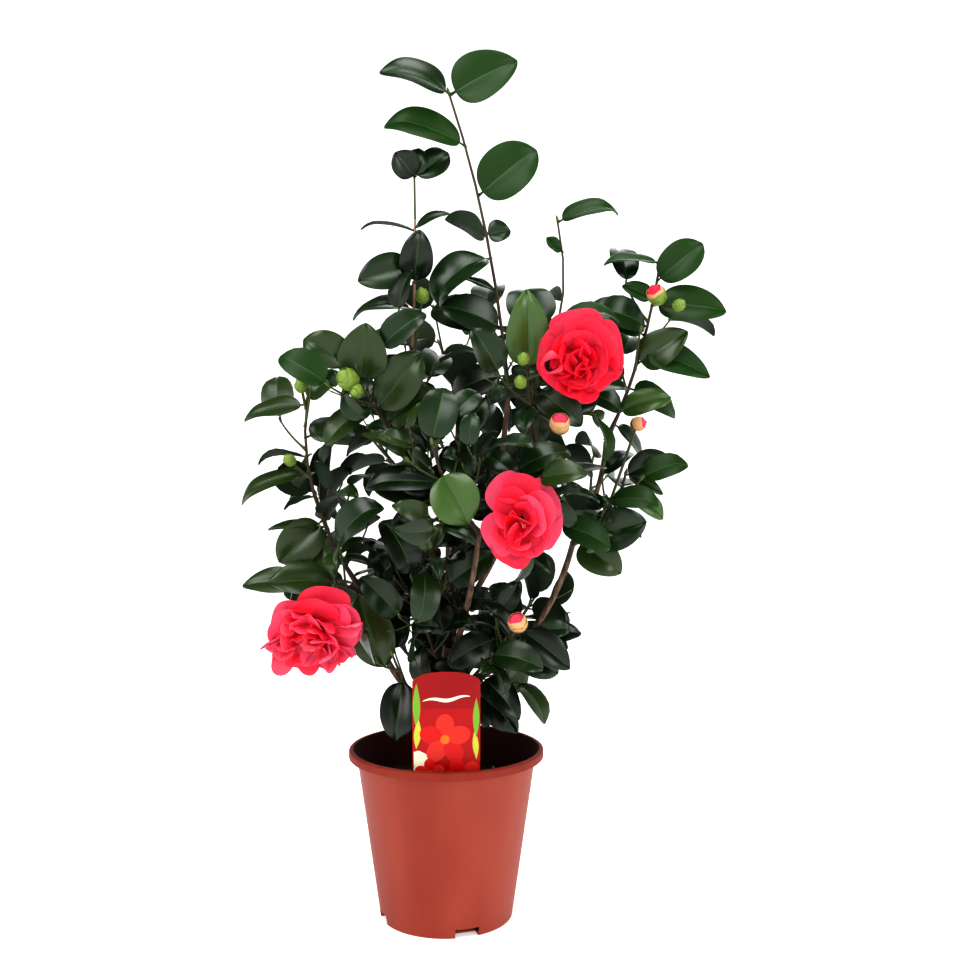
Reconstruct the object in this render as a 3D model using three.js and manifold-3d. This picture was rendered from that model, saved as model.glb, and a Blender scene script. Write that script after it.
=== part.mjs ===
// A camellia shrub in flower, in its nursery pot, in millimetres with +Z up. The origin is the centre of the
// pot's flat underside. The front, with the label and the open flowers, faces -Y.
import * as THREE from "three";
import { mergeVertices } from "three/addons/utils/BufferGeometryUtils.js";
import Module from "manifold-3d";

const wasm = await Module();
wasm.setup();

const CLEAR = 0.35; // the gap between any two pieces
const UP = new THREE.Vector3(0, 0, 1);

// The pot: an injection-moulded nursery container, 15 cm across its lip and 13 cm tall.
const POT = {
  height: 130,
  lipRadius: 75,
  lipHeight: 6.5,
  lipRound: 1.6,
  shoulderRadius: 68.6,
  baseRadius: 51,
  wall: 1.8,
  floor: 2,
  sides: 32,
};
const NOTCH = { count: 4, width: 18.5, height: 7, inner: 41, outer: 56, firstDeg: 17.6 };

// The potting mix, filled to 26 mm under the lip.
const MIX = { top: 104, fall: 2, flatRadius: 22 };

// The care label: a card with an arched top on a stake pushed into the mix.
const LABEL = {
  width: 49,
  thick: 0.9,
  archRise: 7,
  top: 201,
  bottom: 107,
  stakeWidth: 13,
  stakeBottom: 74,
  y: -55.5,
  leanDeg: 4,
};

// The woody parts: where each limb begins and ends, how far its middle bows, and its end radii.
const at = (x, y, z) => new THREE.Vector3(x, y, z);
const TRUNK = { from: at(-2, 0, MIX.top + CLEAR), to: at(5, 2, 236), bow: at(-3, 1, 0), r: [5.4, 3.7], flare: 2.2 };
const LIMB_SIDES = 7;
const BOUGHS = {
  left: { leaves: 0.38, to: at(-62, -14, 250), bow: at(-8, -2, -12), r: [3, 2] },
  right: { leaves: 0.5, to: at(97, -4, 287), bow: at(14, 0, -14), r: [3.2, 2.2] },
  front: { leaves: 0.66, to: at(24, -52, 300), bow: at(2, -12, -8), r: [2.7, 1.9] },
  back: { leaves: 0.58, to: at(2, 66, 300), bow: at(0, 14, -10), r: [2.9, 2] },
  crown_left: { leaves: 0.93, to: at(-31, -12, 360), bow: at(-2, -4, 4), r: [2.8, 2] },
  crown_right: { leaves: 0.97, to: at(48, 6, 404), bow: at(8, 0, -4), r: [2.9, 2] },
  crown_front: { leaves: 0.9, to: at(66, -40, 366), bow: at(6, -6, -6), r: [2.4, 1.8] },
  crown_back: { leaves: 0.95, to: at(10, 58, 392), bow: at(0, 10, -4), r: [2.6, 1.8] },
  right_upper: { of: "right", to: at(122, -6, 366), bow: at(5, 0, -2), r: [2.1, 1.8] },
};

// The crown's reach at some heights: to the left, to the right, and to the front and back.
const CROWN = [
  { z: 135, left: -52, right: 64, deep: 78 },
  { z: 200, left: -92, right: 100, deep: 112 },
  { z: 255, left: -150, right: 116, deep: 132 },
  { z: 300, left: -154, right: 150, deep: 142 },
  { z: 340, left: -160, right: 182, deep: 144 },
  { z: 430, left: -152, right: 208, deep: 134 },
  { z: 470, left: -104, right: 219, deep: 122 },
  { z: 530, left: -66, right: 200, deep: 84 },
  { z: 600, left: -52, right: 92, deep: 50 },
  { z: 664, left: -52, right: 62, deep: 40 },
];

// The foliage: every mass is a stem with side twigs, all leafy. look is where its blades face. set holds the
// leaves that stand clear of the crown: how far up the stem each is, its heading in the front view (0 is right,
// 90 up), how far it comes forward, its length, how far its face turns up from the front, its arch and its width.
const FRONT = at(0, -0.75, 0.66);
const BACK = at(0, 0.75, 0.66);
const MASSES = {
  leader: {
    on: "crown_right", seed: 11, to: at(2, 0, 631), bow: at(6, 0, 6), r: [1.5, 0.9],
    bare: 0.02, spacing: 17, leaf: 50, look: FRONT, twigs: 1, twig: 44, reach: [0.04, 0.24], aim: 200,
    gap: [0.22, 1],
    set: [
      [1, 27, 0, 58, 15, 30, 0.67], [0.985, 164, 5, 56, 42, 62, 0.58], [0.8, 162, 5, 66, 34, 45, 0.46],
      [0.63, 37, 10, 57, 12, 30, 0.7], [0.49, 148, -25, 40, 128, 20, 0.62], [0.5, 12, 5, 19, 20, 25, 1],
      [0.42, 221, 10, 58, 58, 84, 0.6], [0.31, 157, 0, 30, 60, 30, 0.4],
    ],
  },
  second_leader: {
    on: "crown_left", seed: 23, to: at(-24, 4, 570), bow: at(3, 4, 0), r: [1.4, 0.9],
    bare: 0.08, spacing: 17, leaf: 47, look: FRONT, twigs: 3, twig: 42, reach: [0.12, 0.4], aim: 60,
    gap: [0.5, 1],
    set: [
      [1, 128, 30, 25, 10, 24, 0.9], [1, 84, 0, 23, 20, 20, 0.8], [0.985, 36, -10, 34, 10, 24, 0.66],
      [0.86, 172, 0, 8, 50, 20, 0.6], [0.79, 173, 0, 42, 84, 30, 0.36],
      [0.8, 20, 20, 30, 50, 40, 0.5],
      [0.66, 194, 15, 46, 10, 30, 0.62], [0.6, 84, 22, 42, 5, 30, 0.6], [0.5, 186, 0, 48, 62, 70, 0.5],
    ],
  },
  thin_leader: {
    on: "crown_right", seed: 31, to: at(87, 22, 539), bow: at(20, 6, -14), r: [1.3, 0.8],
    bare: 0.08, spacing: 17, leaf: 46, look: at(0.2, -0.6, 0.8), twigs: 2, twig: 42, reach: [0.1, 0.4], aim: 120,
    gap: [0.5, 1],
    set: [[1, 14, 0, 50, 52, 50, 0.5], [0.86, 140, 5, 17, 20, 20, 0.62]],
  },
  left_upper: {
    on: "crown_left", seed: 47, to: at(-70, -36, 426), bow: at(-5, -4, 2), r: [1.6, 1],
    bare: 0.12, spacing: 15, leaf: 50, look: at(-0.3, -0.8, 0.55), twigs: 5, twig: 44, reach: [0.14, 0.8], aim: 30,
    set: [[0.95, 150, 10, 40, 10, 30, 0.66], [0.7, 86, 15, 46, 2, 25, 0.78], [0.4, 50, 15, 56, 6, 30, 0.58]],
  },
  left_outer: {
    on: "left", seed: 53, to: at(-106, 2, 398), bow: at(-16, 0, 0), r: [1.7, 1],
    bare: 0.15, spacing: 16, leaf: 46, look: at(-0.4, -0.6, 0.66), twigs: 6, twig: 46, reach: [0.2, 0.92], aim: 80,
    set: [
      [0.97, 192, 0, 50, 55, 20, 0.5], [0.62, 200, 0, 58, 60, 30, 0.42], [0.38, 226, 10, 46, 0, 30, 0.68],
      [0.34, 182, 0, 44, 74, 20, 0.44],
    ],
  },
  left_low: {
    on: "left", seed: 61, to: at(-104, -40, 260), bow: at(-2, -4, 6), r: [1.7, 1.1],
    bare: 0.15, spacing: 16, leaf: 50, look: at(-0.3, -0.7, 0.7), twigs: 3, twig: 40, reach: [0.2, 0.7], aim: 20,
    set: [[1, 178, 0, 46, 50, 30, 0.55], [0.45, 176, 18, 50, 40, 30, 0.6], [0.12, -68, 10, 62, 0, 30, 0.55]],
  },
  right_upper: {
    on: "right_upper", seed: 71, to: at(163, -8, 503), bow: at(4, 0, -6), r: [1.6, 1],
    bare: 0.1, spacing: 16, leaf: 48, look: at(0.2, -0.75, 0.6), twigs: 5, twig: 42, reach: [0.12, 0.76], aim: 70,
    gap: [0.8, 1],
    set: [
      [0.99, 178, 0, 43, 62, 24, 0.5], [0.9, 40, 10, 44, 15, 50, 0.62], [0.78, -3, 10, 56, 26, 30, 0.56],
      [0.47, 33, 15, 46, 15, 30, 0.6], [0.55, -20, 10, 56, 25, 30, 0.45], [0.18, 18, 10, 42, 30, 50, 0.5],
      [0.62, 152, 0, 50, 35, 40, 0.56], [0.82, 160, 0, 26, 20, 20, 0.6],
    ],
  },
  right_outer: {
    on: "right", seed: 83, to: at(137, -10, 342), bow: at(6, 0, -8), r: [1.5, 0.9],
    bare: 0.2, spacing: 17, leaf: 40, look: at(0.4, -0.7, 0.6), twigs: 3, twig: 36, reach: [0.3, 0.8], aim: 100,
    set: [[0.97, 25, 5, 36, 25, 30, 0.62], [1, -28, 5, 32, 40, 30, 0.4], [0.86, -34, 5, 40, 30, 30, 0.44]],
  },
  right_low: {
    on: "right", seed: 97, to: at(122, -26, 296), bow: at(0, -4, 4), r: [1.5, 0.9],
    bare: 0.15, spacing: 15, leaf: 48, look: at(0.3, -0.7, 0.65), twigs: 2, twig: 34, reach: [0.2, 0.8], aim: 210,
    set: [[0.4, 12, 12, 46, 10, 40, 0.7], [0.15, -40, 15, 42, 5, 30, 0.66]],
  },
  crown_front: {
    on: "crown_front", seed: 101, to: at(64, -66, 448), bow: at(-6, -2, 4), r: [1.6, 0.9],
    bare: 0.12, spacing: 16, leaf: 48, look: FRONT, twigs: 6, twig: 42, reach: [0.12, 0.8], aim: 150,
    gap: [0.78, 1],
    set: [[0.56, 92, 20, 60, 0, 16, 0.52], [0.95, 96, -35, 44, 20, 30, 0.8]],
  },
  front: {
    on: "front", seed: 113, to: at(-10, -84, 366), bow: at(-4, -2, -4), r: [1.6, 1],
    bare: 0.1, spacing: 16, leaf: 50, look: FRONT, twigs: 8, twig: 44, reach: [0.1, 0.86], aim: 260,
    set: [[0.72, -60, 16, 42, 4, 30, 0.82], [0.6, 181, 4, 58, 48, 34, 0.44]],
  },
  front_right: {
    on: "front", seed: 127, to: at(72, -78, 330), bow: at(0, -4, -6), r: [1.6, 1],
    bare: 0.15, spacing: 16, leaf: 47, look: FRONT, twigs: 6, twig: 40, reach: [0.15, 0.86], aim: 40, set: [],
  },
  low_right: {
    on: "trunk", up: 0.28, seed: 131, to: at(55, -44, 228), bow: at(3, -4, 6), r: [1.7, 0.9],
    bare: 0.3, spacing: 15, leaf: 49, look: at(0.2, -0.8, 0.55), twigs: 6, twig: 40, reach: [0.3, 0.9], aim: 90,
    set: [[1, -36, 5, 46, 30, 40, 0.5], [0.78, -26, 8, 44, 20, 30, 0.55], [0.42, -49, 18, 48, 0, 26, 0.54]],
  },
  low_left: {
    on: "trunk", up: 0.22, seed: 149, to: at(-40, -42, 210), bow: at(-4, -4, 2), r: [1.6, 0.9],
    bare: 0.35, spacing: 15, leaf: 48, look: at(-0.2, -0.8, 0.55), twigs: 3, twig: 38, reach: [0.35, 0.9], aim: 40,
    gap: [0.5, 1],
    set: [[0.72, 263, 24, 47, 0, 26, 0.58]],
  },
  low_back: {
    on: "trunk", up: 0.34, seed: 151, to: at(10, 76, 222), bow: at(0, 6, 0), r: [1.7, 0.9],
    bare: 0.3, spacing: 15, leaf: 49, look: BACK, twigs: 4, twig: 44, reach: [0.3, 0.9], aim: 90, set: [],
  },
  low_back_left: {
    on: "trunk", up: 0.52, seed: 157, to: at(-74, 62, 250), bow: at(-4, 8, -4), r: [1.7, 0.9],
    bare: 0.3, spacing: 15, leaf: 49, look: at(-0.5, 0.6, 0.66), twigs: 4, twig: 44, reach: [0.3, 0.9], aim: 70, set: [],
  },
  low_back_right: {
    on: "trunk", up: 0.44, seed: 167, to: at(74, 58, 240), bow: at(4, 8, -4), r: [1.7, 0.9],
    bare: 0.3, spacing: 15, leaf: 49, look: at(0.5, 0.6, 0.66), twigs: 3, twig: 44, reach: [0.3, 0.9], aim: 20, set: [],
  },
  centre: {
    on: "trunk", up: 0.8, seed: 163, to: at(14, -16, 366), bow: at(6, -4, 0), r: [1.6, 0.9],
    bare: 0.1, spacing: 15, leaf: 48, look: FRONT, twigs: 6, twig: 40, reach: [0.12, 0.9], aim: 330, set: [],
  },
  centre_low: {
    on: "trunk", up: 0.62, seed: 229, to: at(-22, -34, 262), bow: at(-4, -4, 0), r: [1.6, 0.9],
    bare: 0.2, spacing: 15, leaf: 50, look: FRONT, twigs: 6, twig: 42, reach: [0.2, 0.9], aim: 15, set: [],
  },
  centre_right: {
    on: "crown_right", seed: 233, to: at(84, -34, 404), bow: at(4, -8, -10), r: [1.5, 0.9],
    bare: 0.1, spacing: 15, leaf: 50, look: FRONT, twigs: 4, twig: 42, reach: [0.2, 0.9], aim: 250, set: [],
  },
  left_back: {
    on: "left", seed: 211, to: at(-104, 60, 326), bow: at(-6, 8, -4), r: [1.6, 0.9],
    bare: 0.15, spacing: 16, leaf: 47, look: at(-0.7, 0.3, 0.66), twigs: 4, twig: 44, reach: [0.2, 0.9], aim: 140, set: [],
  },
  right_back: {
    on: "right", seed: 223, to: at(120, 66, 338), bow: at(4, 8, -4), r: [1.6, 0.9],
    bare: 0.15, spacing: 16, leaf: 47, look: at(0.7, 0.3, 0.66), twigs: 5, twig: 44, reach: [0.2, 0.9], aim: 240, set: [],
  },
  back_left: {
    on: "back", seed: 173, to: at(-58, 98, 366), bow: at(-6, 6, 2), r: [1.7, 1],
    bare: 0.1, spacing: 16, leaf: 49, look: at(-0.4, 0.7, 0.6), twigs: 5, twig: 46, reach: [0.12, 0.9], aim: 50, set: [],
  },
  back_right: {
    on: "back", seed: 181, to: at(66, 98, 352), bow: at(6, 6, 2), r: [1.6, 1],
    bare: 0.1, spacing: 16, leaf: 49, look: at(0.4, 0.7, 0.6), twigs: 5, twig: 46, reach: [0.12, 0.9], aim: 130, set: [],
  },
  back_upper: {
    on: "crown_back", seed: 193, to: at(-6, 88, 448), bow: at(0, 4, 4), r: [1.7, 0.9],
    bare: 0.06, spacing: 16, leaf: 49, look: BACK, twigs: 5, twig: 46, reach: [0.08, 0.86], aim: 20, set: [],
  },
  back_crown_right: {
    on: "crown_back", seed: 199, to: at(88, 66, 438), bow: at(4, 6, 4), r: [1.6, 0.9],
    bare: 0.1, spacing: 16, leaf: 48, look: at(0.5, 0.55, 0.66), twigs: 4, twig: 44, reach: [0.15, 0.86], aim: 200, set: [],
  },
};

// Open flowers and buds: the mass and the share of its stem that their stalks leave from, their middles,
// where they face and their radii.
const FLOWERS = [
  { mass: "crown_front", up: 0.5, at: at(94, -84, 428), face: at(-0.1, -1, 0.05), r: 30 },
  { mass: "front_right", up: 0.55, at: at(52, -98, 314), face: at(-0.25, -1, -0.1), r: 31 },
  { mass: "left_low", up: 0.45, at: at(-99, -66, 229), face: at(-0.35, -0.75, -0.5), r: 38 },
];
const BUDS = [
  { mass: "right_upper", up: 0.8, at: at(156, -30, 475), face: at(-0.5, -0.5, 0.7), r: 7.6 },
  { mass: "right_upper", up: 0.8, at: at(173, -32, 467), face: at(0.6, -0.6, 0.5), r: 4.8 },
  { mass: "right_outer", up: 0.4, at: at(142, -40, 379), face: at(0.8, -0.5, 0.2), r: 5.6 },
  { mass: "crown_front", up: 0.25, at: at(80, -78, 379), face: at(-0.1, -0.7, 0.7), r: 7.6 },
  { mass: "crown_front", up: 0.45, at: at(52, -82, 408), face: at(-0.2, -0.5, 0.8), r: 4.6 },
  { mass: "crown_front", up: 0.6, at: at(54, -84, 424), face: at(0, -0.6, 0.8), r: 4.4 },
  { mass: "low_right", up: 0.7, at: at(51, -70, 237), face: at(-0.1, -1, 0.2), r: 7.4 },
  { mass: "left_upper", up: 0.8, at: at(-70, -56, 414), face: at(-0.6, -0.6, 0.5), r: 7.4 },
  { mass: "left_upper", up: 0.75, at: at(-64, -58, 402), face: at(-0.4, -0.7, -0.3), r: 5.4 },
  { mass: "left_outer", up: 0.95, at: at(-110, -8, 408), face: at(-0.5, -0.3, 0.8), r: 5 },
  { mass: "left_outer", up: 0.6, at: at(-118, -14, 352), face: at(-0.6, -0.5, 0.6), r: 4.8 },
  { mass: "second_leader", up: 0.3, at: at(-18, -12, 476), face: at(-0.2, -0.3, 0.9), r: 5.6 },
  { mass: "back_left", up: 0.7, at: at(-66, 110, 372), face: at(-0.2, 0.7, 0.7), r: 7 },
  { mass: "back_right", up: 0.7, at: at(88, 110, 366), face: at(0.2, 0.8, 0.6), r: 7 },
  { mass: "back_upper", up: 0.7, at: at(24, 108, 426), face: at(0.1, 0.7, 0.7), r: 6 },
];

// How a leaf grows. Angles are in degrees; a pair is a range that each leaf draws from.
const LEAF = {
  rise: [44, 74], // from the shoot's own direction
  tipRise: 22, // for the last leaf of a shoot
  swing: 42, // to either side of the two ranks
  sag: [0, 0.45],
  roll: 46,
  arch: [24, 76],
  fold: [0.12, 0.36],
  length: [0.72, 1.1],
  slim: [0.48, 0.63], // width over length
  rib: 0.42, // half the thickness along the midrib
  tries: 9,
};
const STEM = { sides: 4, steps: 3 };
const TWIG = {
  angle: 50, turnDeg: 137.5, lift: 0.25, shorten: 0.3, length: [0.85, 1.15],
  r: [1, 0.7], sides: 3, steps: 1, bare: 0.28, spacing: 17,
};

// An open flower's tiers from its foot to its heart, as shares of its radius: how far out, how high, and
// whether a lobe of the rim stands out (1) or falls back (-1) there.
const FLOWER = {
  lobes: 6,
  scallop: 0.08,
  tiers: [
    [0, -0.36, 0], [0.5, -0.24, 0], [0.94, 0.04, 1], [0.86, 0.2, 1], [0.66, 0.12, 0],
    [0.72, 0.38, -1], [0.46, 0.34, 0], [0.44, 0.56, 1], [0, 0.5, 0],
  ],
};
const STALK = { r: [1.2, 1.1], sides: 3, steps: 1, bow: at(0, 0, -1), sunk: 0.3 };
const IN_FRONT = { length: 75, share: 0.85 }; // what a flower or bud keeps free before it, and its own share

// The stations of a leaf's outline from tip to stalk: how far along it is, and its share of the half width.
const STATIONS = [
  [1, 0],
  [0.74, 0.86],
  [0.3, 0.88],
  [-0.01, 0],
];

const RADIANS = Math.PI / 180;
const lerp = ([low, high], share) => low + (high - low) * share;

// A small seeded generator: the same seed always draws the same numbers, from 0 to 1.
function drawsFrom(seed) {
  let state = (seed * 7919 + 12345) % 2147483647;
  return () => {
    state = (state * 48271) % 2147483647;
    return state / 2147483647;
  };
}

// Makes a closed geometry a solid that can be joined and cut.
function solidOf(geometry) {
  const bare = geometry.clone();
  bare.deleteAttribute("normal");
  bare.deleteAttribute("uv");
  const merged = mergeVertices(bare, 1e-4);
  const corners = merged.index.array;
  const kept = [];
  for (let i = 0; i < corners.length; i += 3) {
    const [a, b, c] = [corners[i], corners[i + 1], corners[i + 2]];
    if (a !== b && b !== c && c !== a) kept.push(a, b, c);
  }
  return new wasm.Manifold(
    new wasm.Mesh({
      numProp: 3,
      vertProperties: merged.attributes.position.array,
      triVerts: new Uint32Array(kept),
    }),
  );
}

// Turns a solid back into a geometry to draw.
function geometryOf(solid) {
  const mesh = solid.getMesh();
  const geometry = new THREE.BufferGeometry();
  geometry.setAttribute("position", new THREE.BufferAttribute(mesh.vertProperties, 3));
  geometry.setIndex(new THREE.BufferAttribute(mesh.triVerts, 1));
  geometry.computeVertexNormals();
  return geometry;
}

const unionOf = (solids) => wasm.Manifold.union(solids);

// The largest single body of a solid; loose scraps are dropped.
function largestOf(solid) {
  const bodies = solid.decompose();
  return bodies.reduce((best, body) => (body.volume() > best.volume() ? body : best));
}

const boxesMeet = (a, b, gap) => {
  const p = a.boundingBox();
  const q = b.boundingBox();
  return [0, 1, 2].every((i) => p.min[i] - gap < q.max[i] && q.min[i] - gap < p.max[i]);
};
const isClear = (solid, others, gap) =>
  others.every((other) => !boxesMeet(solid, other, gap) || solid.minGap(other, gap) >= gap);

// The curve of a limb: it leaves from one point and bows on its way to the other.
function bowed(from, to, bow) {
  const middle = from.clone().add(to).multiplyScalar(0.5).addScaledVector(bow, 2);
  return new THREE.QuadraticBezierCurve3(from, middle, to);
}

// One tapering limb along a curve: a cylinder whose rings are moved onto it. flare widens its foot, which is
// then cut level.
function limb(curve, [footRadius, tipRadius], sides, steps, grow = 0, flare = 0) {
  const geometry = new THREE.CylinderGeometry(1, 1, 1, sides, steps);
  const position = geometry.attributes.position;
  const turn = new THREE.Quaternion();
  for (let i = 0; i < position.count; i++) {
    const share = position.getY(i) + 0.5;
    const tangent = flare && share < 0.01 ? UP : curve.getTangent(share);
    turn.setFromUnitVectors(UP, tangent);
    const radius = lerp([footRadius, tipRadius], share) + grow + flare * Math.max(0, 1 - share * 5) ** 2;
    const offset = at(position.getX(i) * radius, -position.getZ(i) * radius, 0).applyQuaternion(turn);
    offset.add(curve.getPoint(share)).addScaledVector(tangent, grow * (share < 0.01 ? -1 : share > 0.99 ? 1 : 0));
    position.setXYZ(i, offset.x, offset.y, offset.z);
  }
  return solidOf(geometry);
}

// A thin blade from its stations: a sphere's rings of four corners laid out as edge, rib, edge, underside.
// shape(along, side, thick) gives each corner's place.
function blade(stations, shape) {
  const geometry = new THREE.SphereGeometry(1, 4, stations.length - 1);
  const position = geometry.attributes.position;
  const corners = 5;
  for (let i = 0; i < position.count; i++) {
    const [along, width] = stations[Math.floor(i / corners)];
    const corner = (i % corners) % 4;
    const side = [-1, 0, 1, 0][corner] * width;
    const thick = width ? [0, 1, 0, -1][corner] : 0;
    const place = shape(along, side, thick);
    position.setXYZ(i, place.x, place.y, place.z);
  }
  return solidOf(geometry);
}

// A direction square to an axis, as near as can be to the one that is wanted.
function squareTo(axis, wanted) {
  const result = wanted.clone().addScaledVector(axis, -wanted.dot(axis));
  if (result.lengthSq() < 1e-6) result.set(axis.z, axis.x, axis.y).addScaledVector(axis, -result.dot(axis));
  return result.normalize();
}

// One leaf's blade: it sets out along its heading, arches over away from its upper side along a circle, and
// folds up along the midrib.
function bladeOf(point, heading, upper, { long, slim, arch, fold }) {
  const across = heading.clone().cross(upper);
  const halfWidth = (long * slim) / 2;
  return blade(STATIONS, (share, side, thick) => {
    const angle = arch * share;
    const lift = Math.abs(side) * halfWidth * fold + thick * LEAF.rib;
    const forward = (long * Math.sin(angle)) / arch + lift * Math.sin(angle);
    const height = (-long * (1 - Math.cos(angle))) / arch + lift * Math.cos(angle);
    return point
      .clone()
      .addScaledVector(heading, forward)
      .addScaledVector(upper, height)
      .addScaledVector(across, side * halfWidth);
  });
}

// A leaf that grows by the rule, to one side of its shoot. A seeded draw gives what differs from leaf to leaf.
function grownLeaf(point, tangent, look, rank, length, isLast, draw) {
  const swing = (draw() * 2 - 1) * LEAF.swing;
  const rise = (isLast ? LEAF.tipRise : lerp(LEAF.rise, draw())) * RADIANS;
  const roll = (draw() * 2 - 1) * LEAF.roll * RADIANS;
  const arch = lerp(LEAF.arch, draw()) * RADIANS;
  const fold = lerp(LEAF.fold, draw());
  const long = length * lerp(LEAF.length, draw());
  const slim = lerp(LEAF.slim, draw());
  const out = squareTo(tangent, look).applyAxisAngle(tangent, (rank + swing) * RADIANS);
  const heading = tangent.clone().multiplyScalar(Math.cos(rise)).addScaledVector(out, Math.sin(rise));
  heading.z -= lerp(LEAF.sag, draw());
  heading.normalize();
  const upper = squareTo(heading, look.clone().addScaledVector(tangent, 0.5)).applyAxisAngle(heading, roll);
  return bladeOf(point, heading, upper, { long, slim, arch, fold });
}

// A leaf that stands clear of the crown, set by where its tip lies from its foot.
function setLeaf(point, [, lean, fore, span, facing, archDeg, slim]) {
  const arch = archDeg * RADIANS;
  const half = arch / 2;
  const level = Math.cos(fore * RADIANS);
  const chord = at(level * Math.cos(lean * RADIANS), -Math.sin(fore * RADIANS), level * Math.sin(lean * RADIANS));
  const look = at(0, -Math.cos(facing * RADIANS), Math.sin(facing * RADIANS));
  const up = squareTo(chord, look);
  const heading = chord.clone().multiplyScalar(Math.cos(half)).addScaledVector(up, Math.sin(half));
  const upper = up.clone().multiplyScalar(Math.cos(half)).addScaledVector(chord, -Math.sin(half));
  return bladeOf(point, heading, upper, { long: (span * half) / Math.sin(half), slim, arch, fold: 0.22 });
}

// Whether a solid keeps inside the crown's reach.
function isInCrown(solid) {
  const { min, max } = solid.boundingBox();
  const z = (min[2] + max[2]) / 2;
  const i = CROWN.findIndex((level) => level.z > z);
  if (i < 1 || min[2] < CROWN[0].z || max[2] > CROWN.at(-1).z) return false;
  const share = (z - CROWN[i - 1].z) / (CROWN[i].z - CROWN[i - 1].z);
  const [left, right, deep] = ["left", "right", "deep"].map((side) =>
    lerp([CROWN[i - 1][side], CROWN[i][side]], share),
  );
  return min[0] > left && max[0] < right && min[1] > -deep && max[1] < deep;
}

// An open flower: three tiers of petals round a raised heart, turned about its axis. Each tier's rim has lobes.
function flowerSolid(middle, face, radius) {
  const profile = FLOWER.tiers.map(([out, high]) => new THREE.Vector2(out * radius, high * radius));
  const geometry = new THREE.LatheGeometry(profile, FLOWER.lobes * 2);
  const position = geometry.attributes.position;
  for (let i = 0; i < position.count; i++) {
    const lobe = FLOWER.tiers[i % FLOWER.tiers.length][2];
    const turn = Math.atan2(position.getX(i), position.getZ(i));
    const spread = 1 + FLOWER.scallop * lobe * Math.cos(FLOWER.lobes * turn);
    position.setXYZ(i, position.getX(i) * spread, position.getY(i), position.getZ(i) * spread);
  }
  return placedSolid(geometry, middle, face);
}

// A closed solid that was made about +Y, turned to its axis and moved to its middle.
function placedSolid(geometry, middle, axis) {
  const turn = new THREE.Quaternion().setFromUnitVectors(at(0, 1, 0), axis.clone().normalize());
  geometry.applyQuaternion(turn);
  geometry.translate(middle.x, middle.y, middle.z);
  return solidOf(geometry);
}

// A closed bud: an egg, blunt at its foot and drawn to a point.
function budSolid(middle, face, radius) {
  const geometry = new THREE.SphereGeometry(radius, 6, 4);
  geometry.scale(1, 1.22, 1);
  return placedSolid(geometry, middle, face);
}

// The shoots of a mass: its stem, and side twigs that leave it by the golden angle and turn up to the light.
function shootsOf(mass, stem) {
  const draw = drawsFrom(mass.seed);
  const { bare, gap, spacing } = mass;
  const shoots = [{ ...STEM, curve: stem, r: mass.r, bare, gap, spacing, seed: mass.seed * 1000 }];
  for (let i = 0; i < mass.twigs; i++) {
    const share = lerp(mass.reach, (i + 0.5) / mass.twigs);
    const start = stem.getPoint(share);
    const tangent = stem.getTangent(share);
    const turn = (mass.aim + i * TWIG.turnDeg) * RADIANS;
    const out = squareTo(tangent, mass.look).applyAxisAngle(tangent, turn);
    const length = mass.twig * (1 - TWIG.shorten * share) * lerp(TWIG.length, draw());
    const angle = TWIG.angle * RADIANS;
    const heading = tangent.clone().multiplyScalar(Math.cos(angle)).addScaledVector(out, Math.sin(angle));
    heading.z += TWIG.lift;
    const end = start.clone().addScaledVector(heading.normalize(), length);
    const bow = out.clone().multiplyScalar(length * 0.06);
    shoots.push({ ...TWIG, curve: bowed(start, end, bow), seed: mass.seed * 1000 + (i + 1) * 100 });
  }
  return shoots;
}

// The leaves of a shoot from its tip down, in two ranks, each tried at several settings until it is clear.
function leavesOf(mass, shoot, blocked) {
  const length = shoot.curve.getLength();
  const leaves = [];
  for (let k = 0; 1 - (k * shoot.spacing) / length > shoot.bare; k++) {
    const share = Math.min(0.985, 1 - (k * shoot.spacing) / length);
    if (shoot.gap && share > shoot.gap[0] && share < shoot.gap[1]) continue;
    const point = shoot.curve.getPoint(share);
    const tangent = shoot.curve.getTangent(share);
    const rank = 90 + 180 * k;
    for (let attempt = 0; attempt < LEAF.tries; attempt++) {
      const draw = drawsFrom(shoot.seed + k * 10 + attempt);
      const leaf = grownLeaf(point, tangent, mass.look, rank, mass.leaf, k === 0, draw);
      if (isInCrown(leaf) && isClear(leaf, [...blocked, ...leaves], 2 * CLEAR)) {
        leaves.push(leaf);
        break;
      }
    }
  }
  return leaves;
}

// Turns a lathe, which spins about +Y, so that it spins about +Z.
function lathe(profile, sides) {
  const points = profile.map(([radius, height]) => new THREE.Vector2(radius, height));
  return solidOf(new THREE.LatheGeometry(points, sides).rotateX(Math.PI / 2));
}

const outerRadiusAt = (z) =>
  POT.baseRadius + ((POT.shoulderRadius - POT.baseRadius) * z) / (POT.height - POT.lipHeight);

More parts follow.
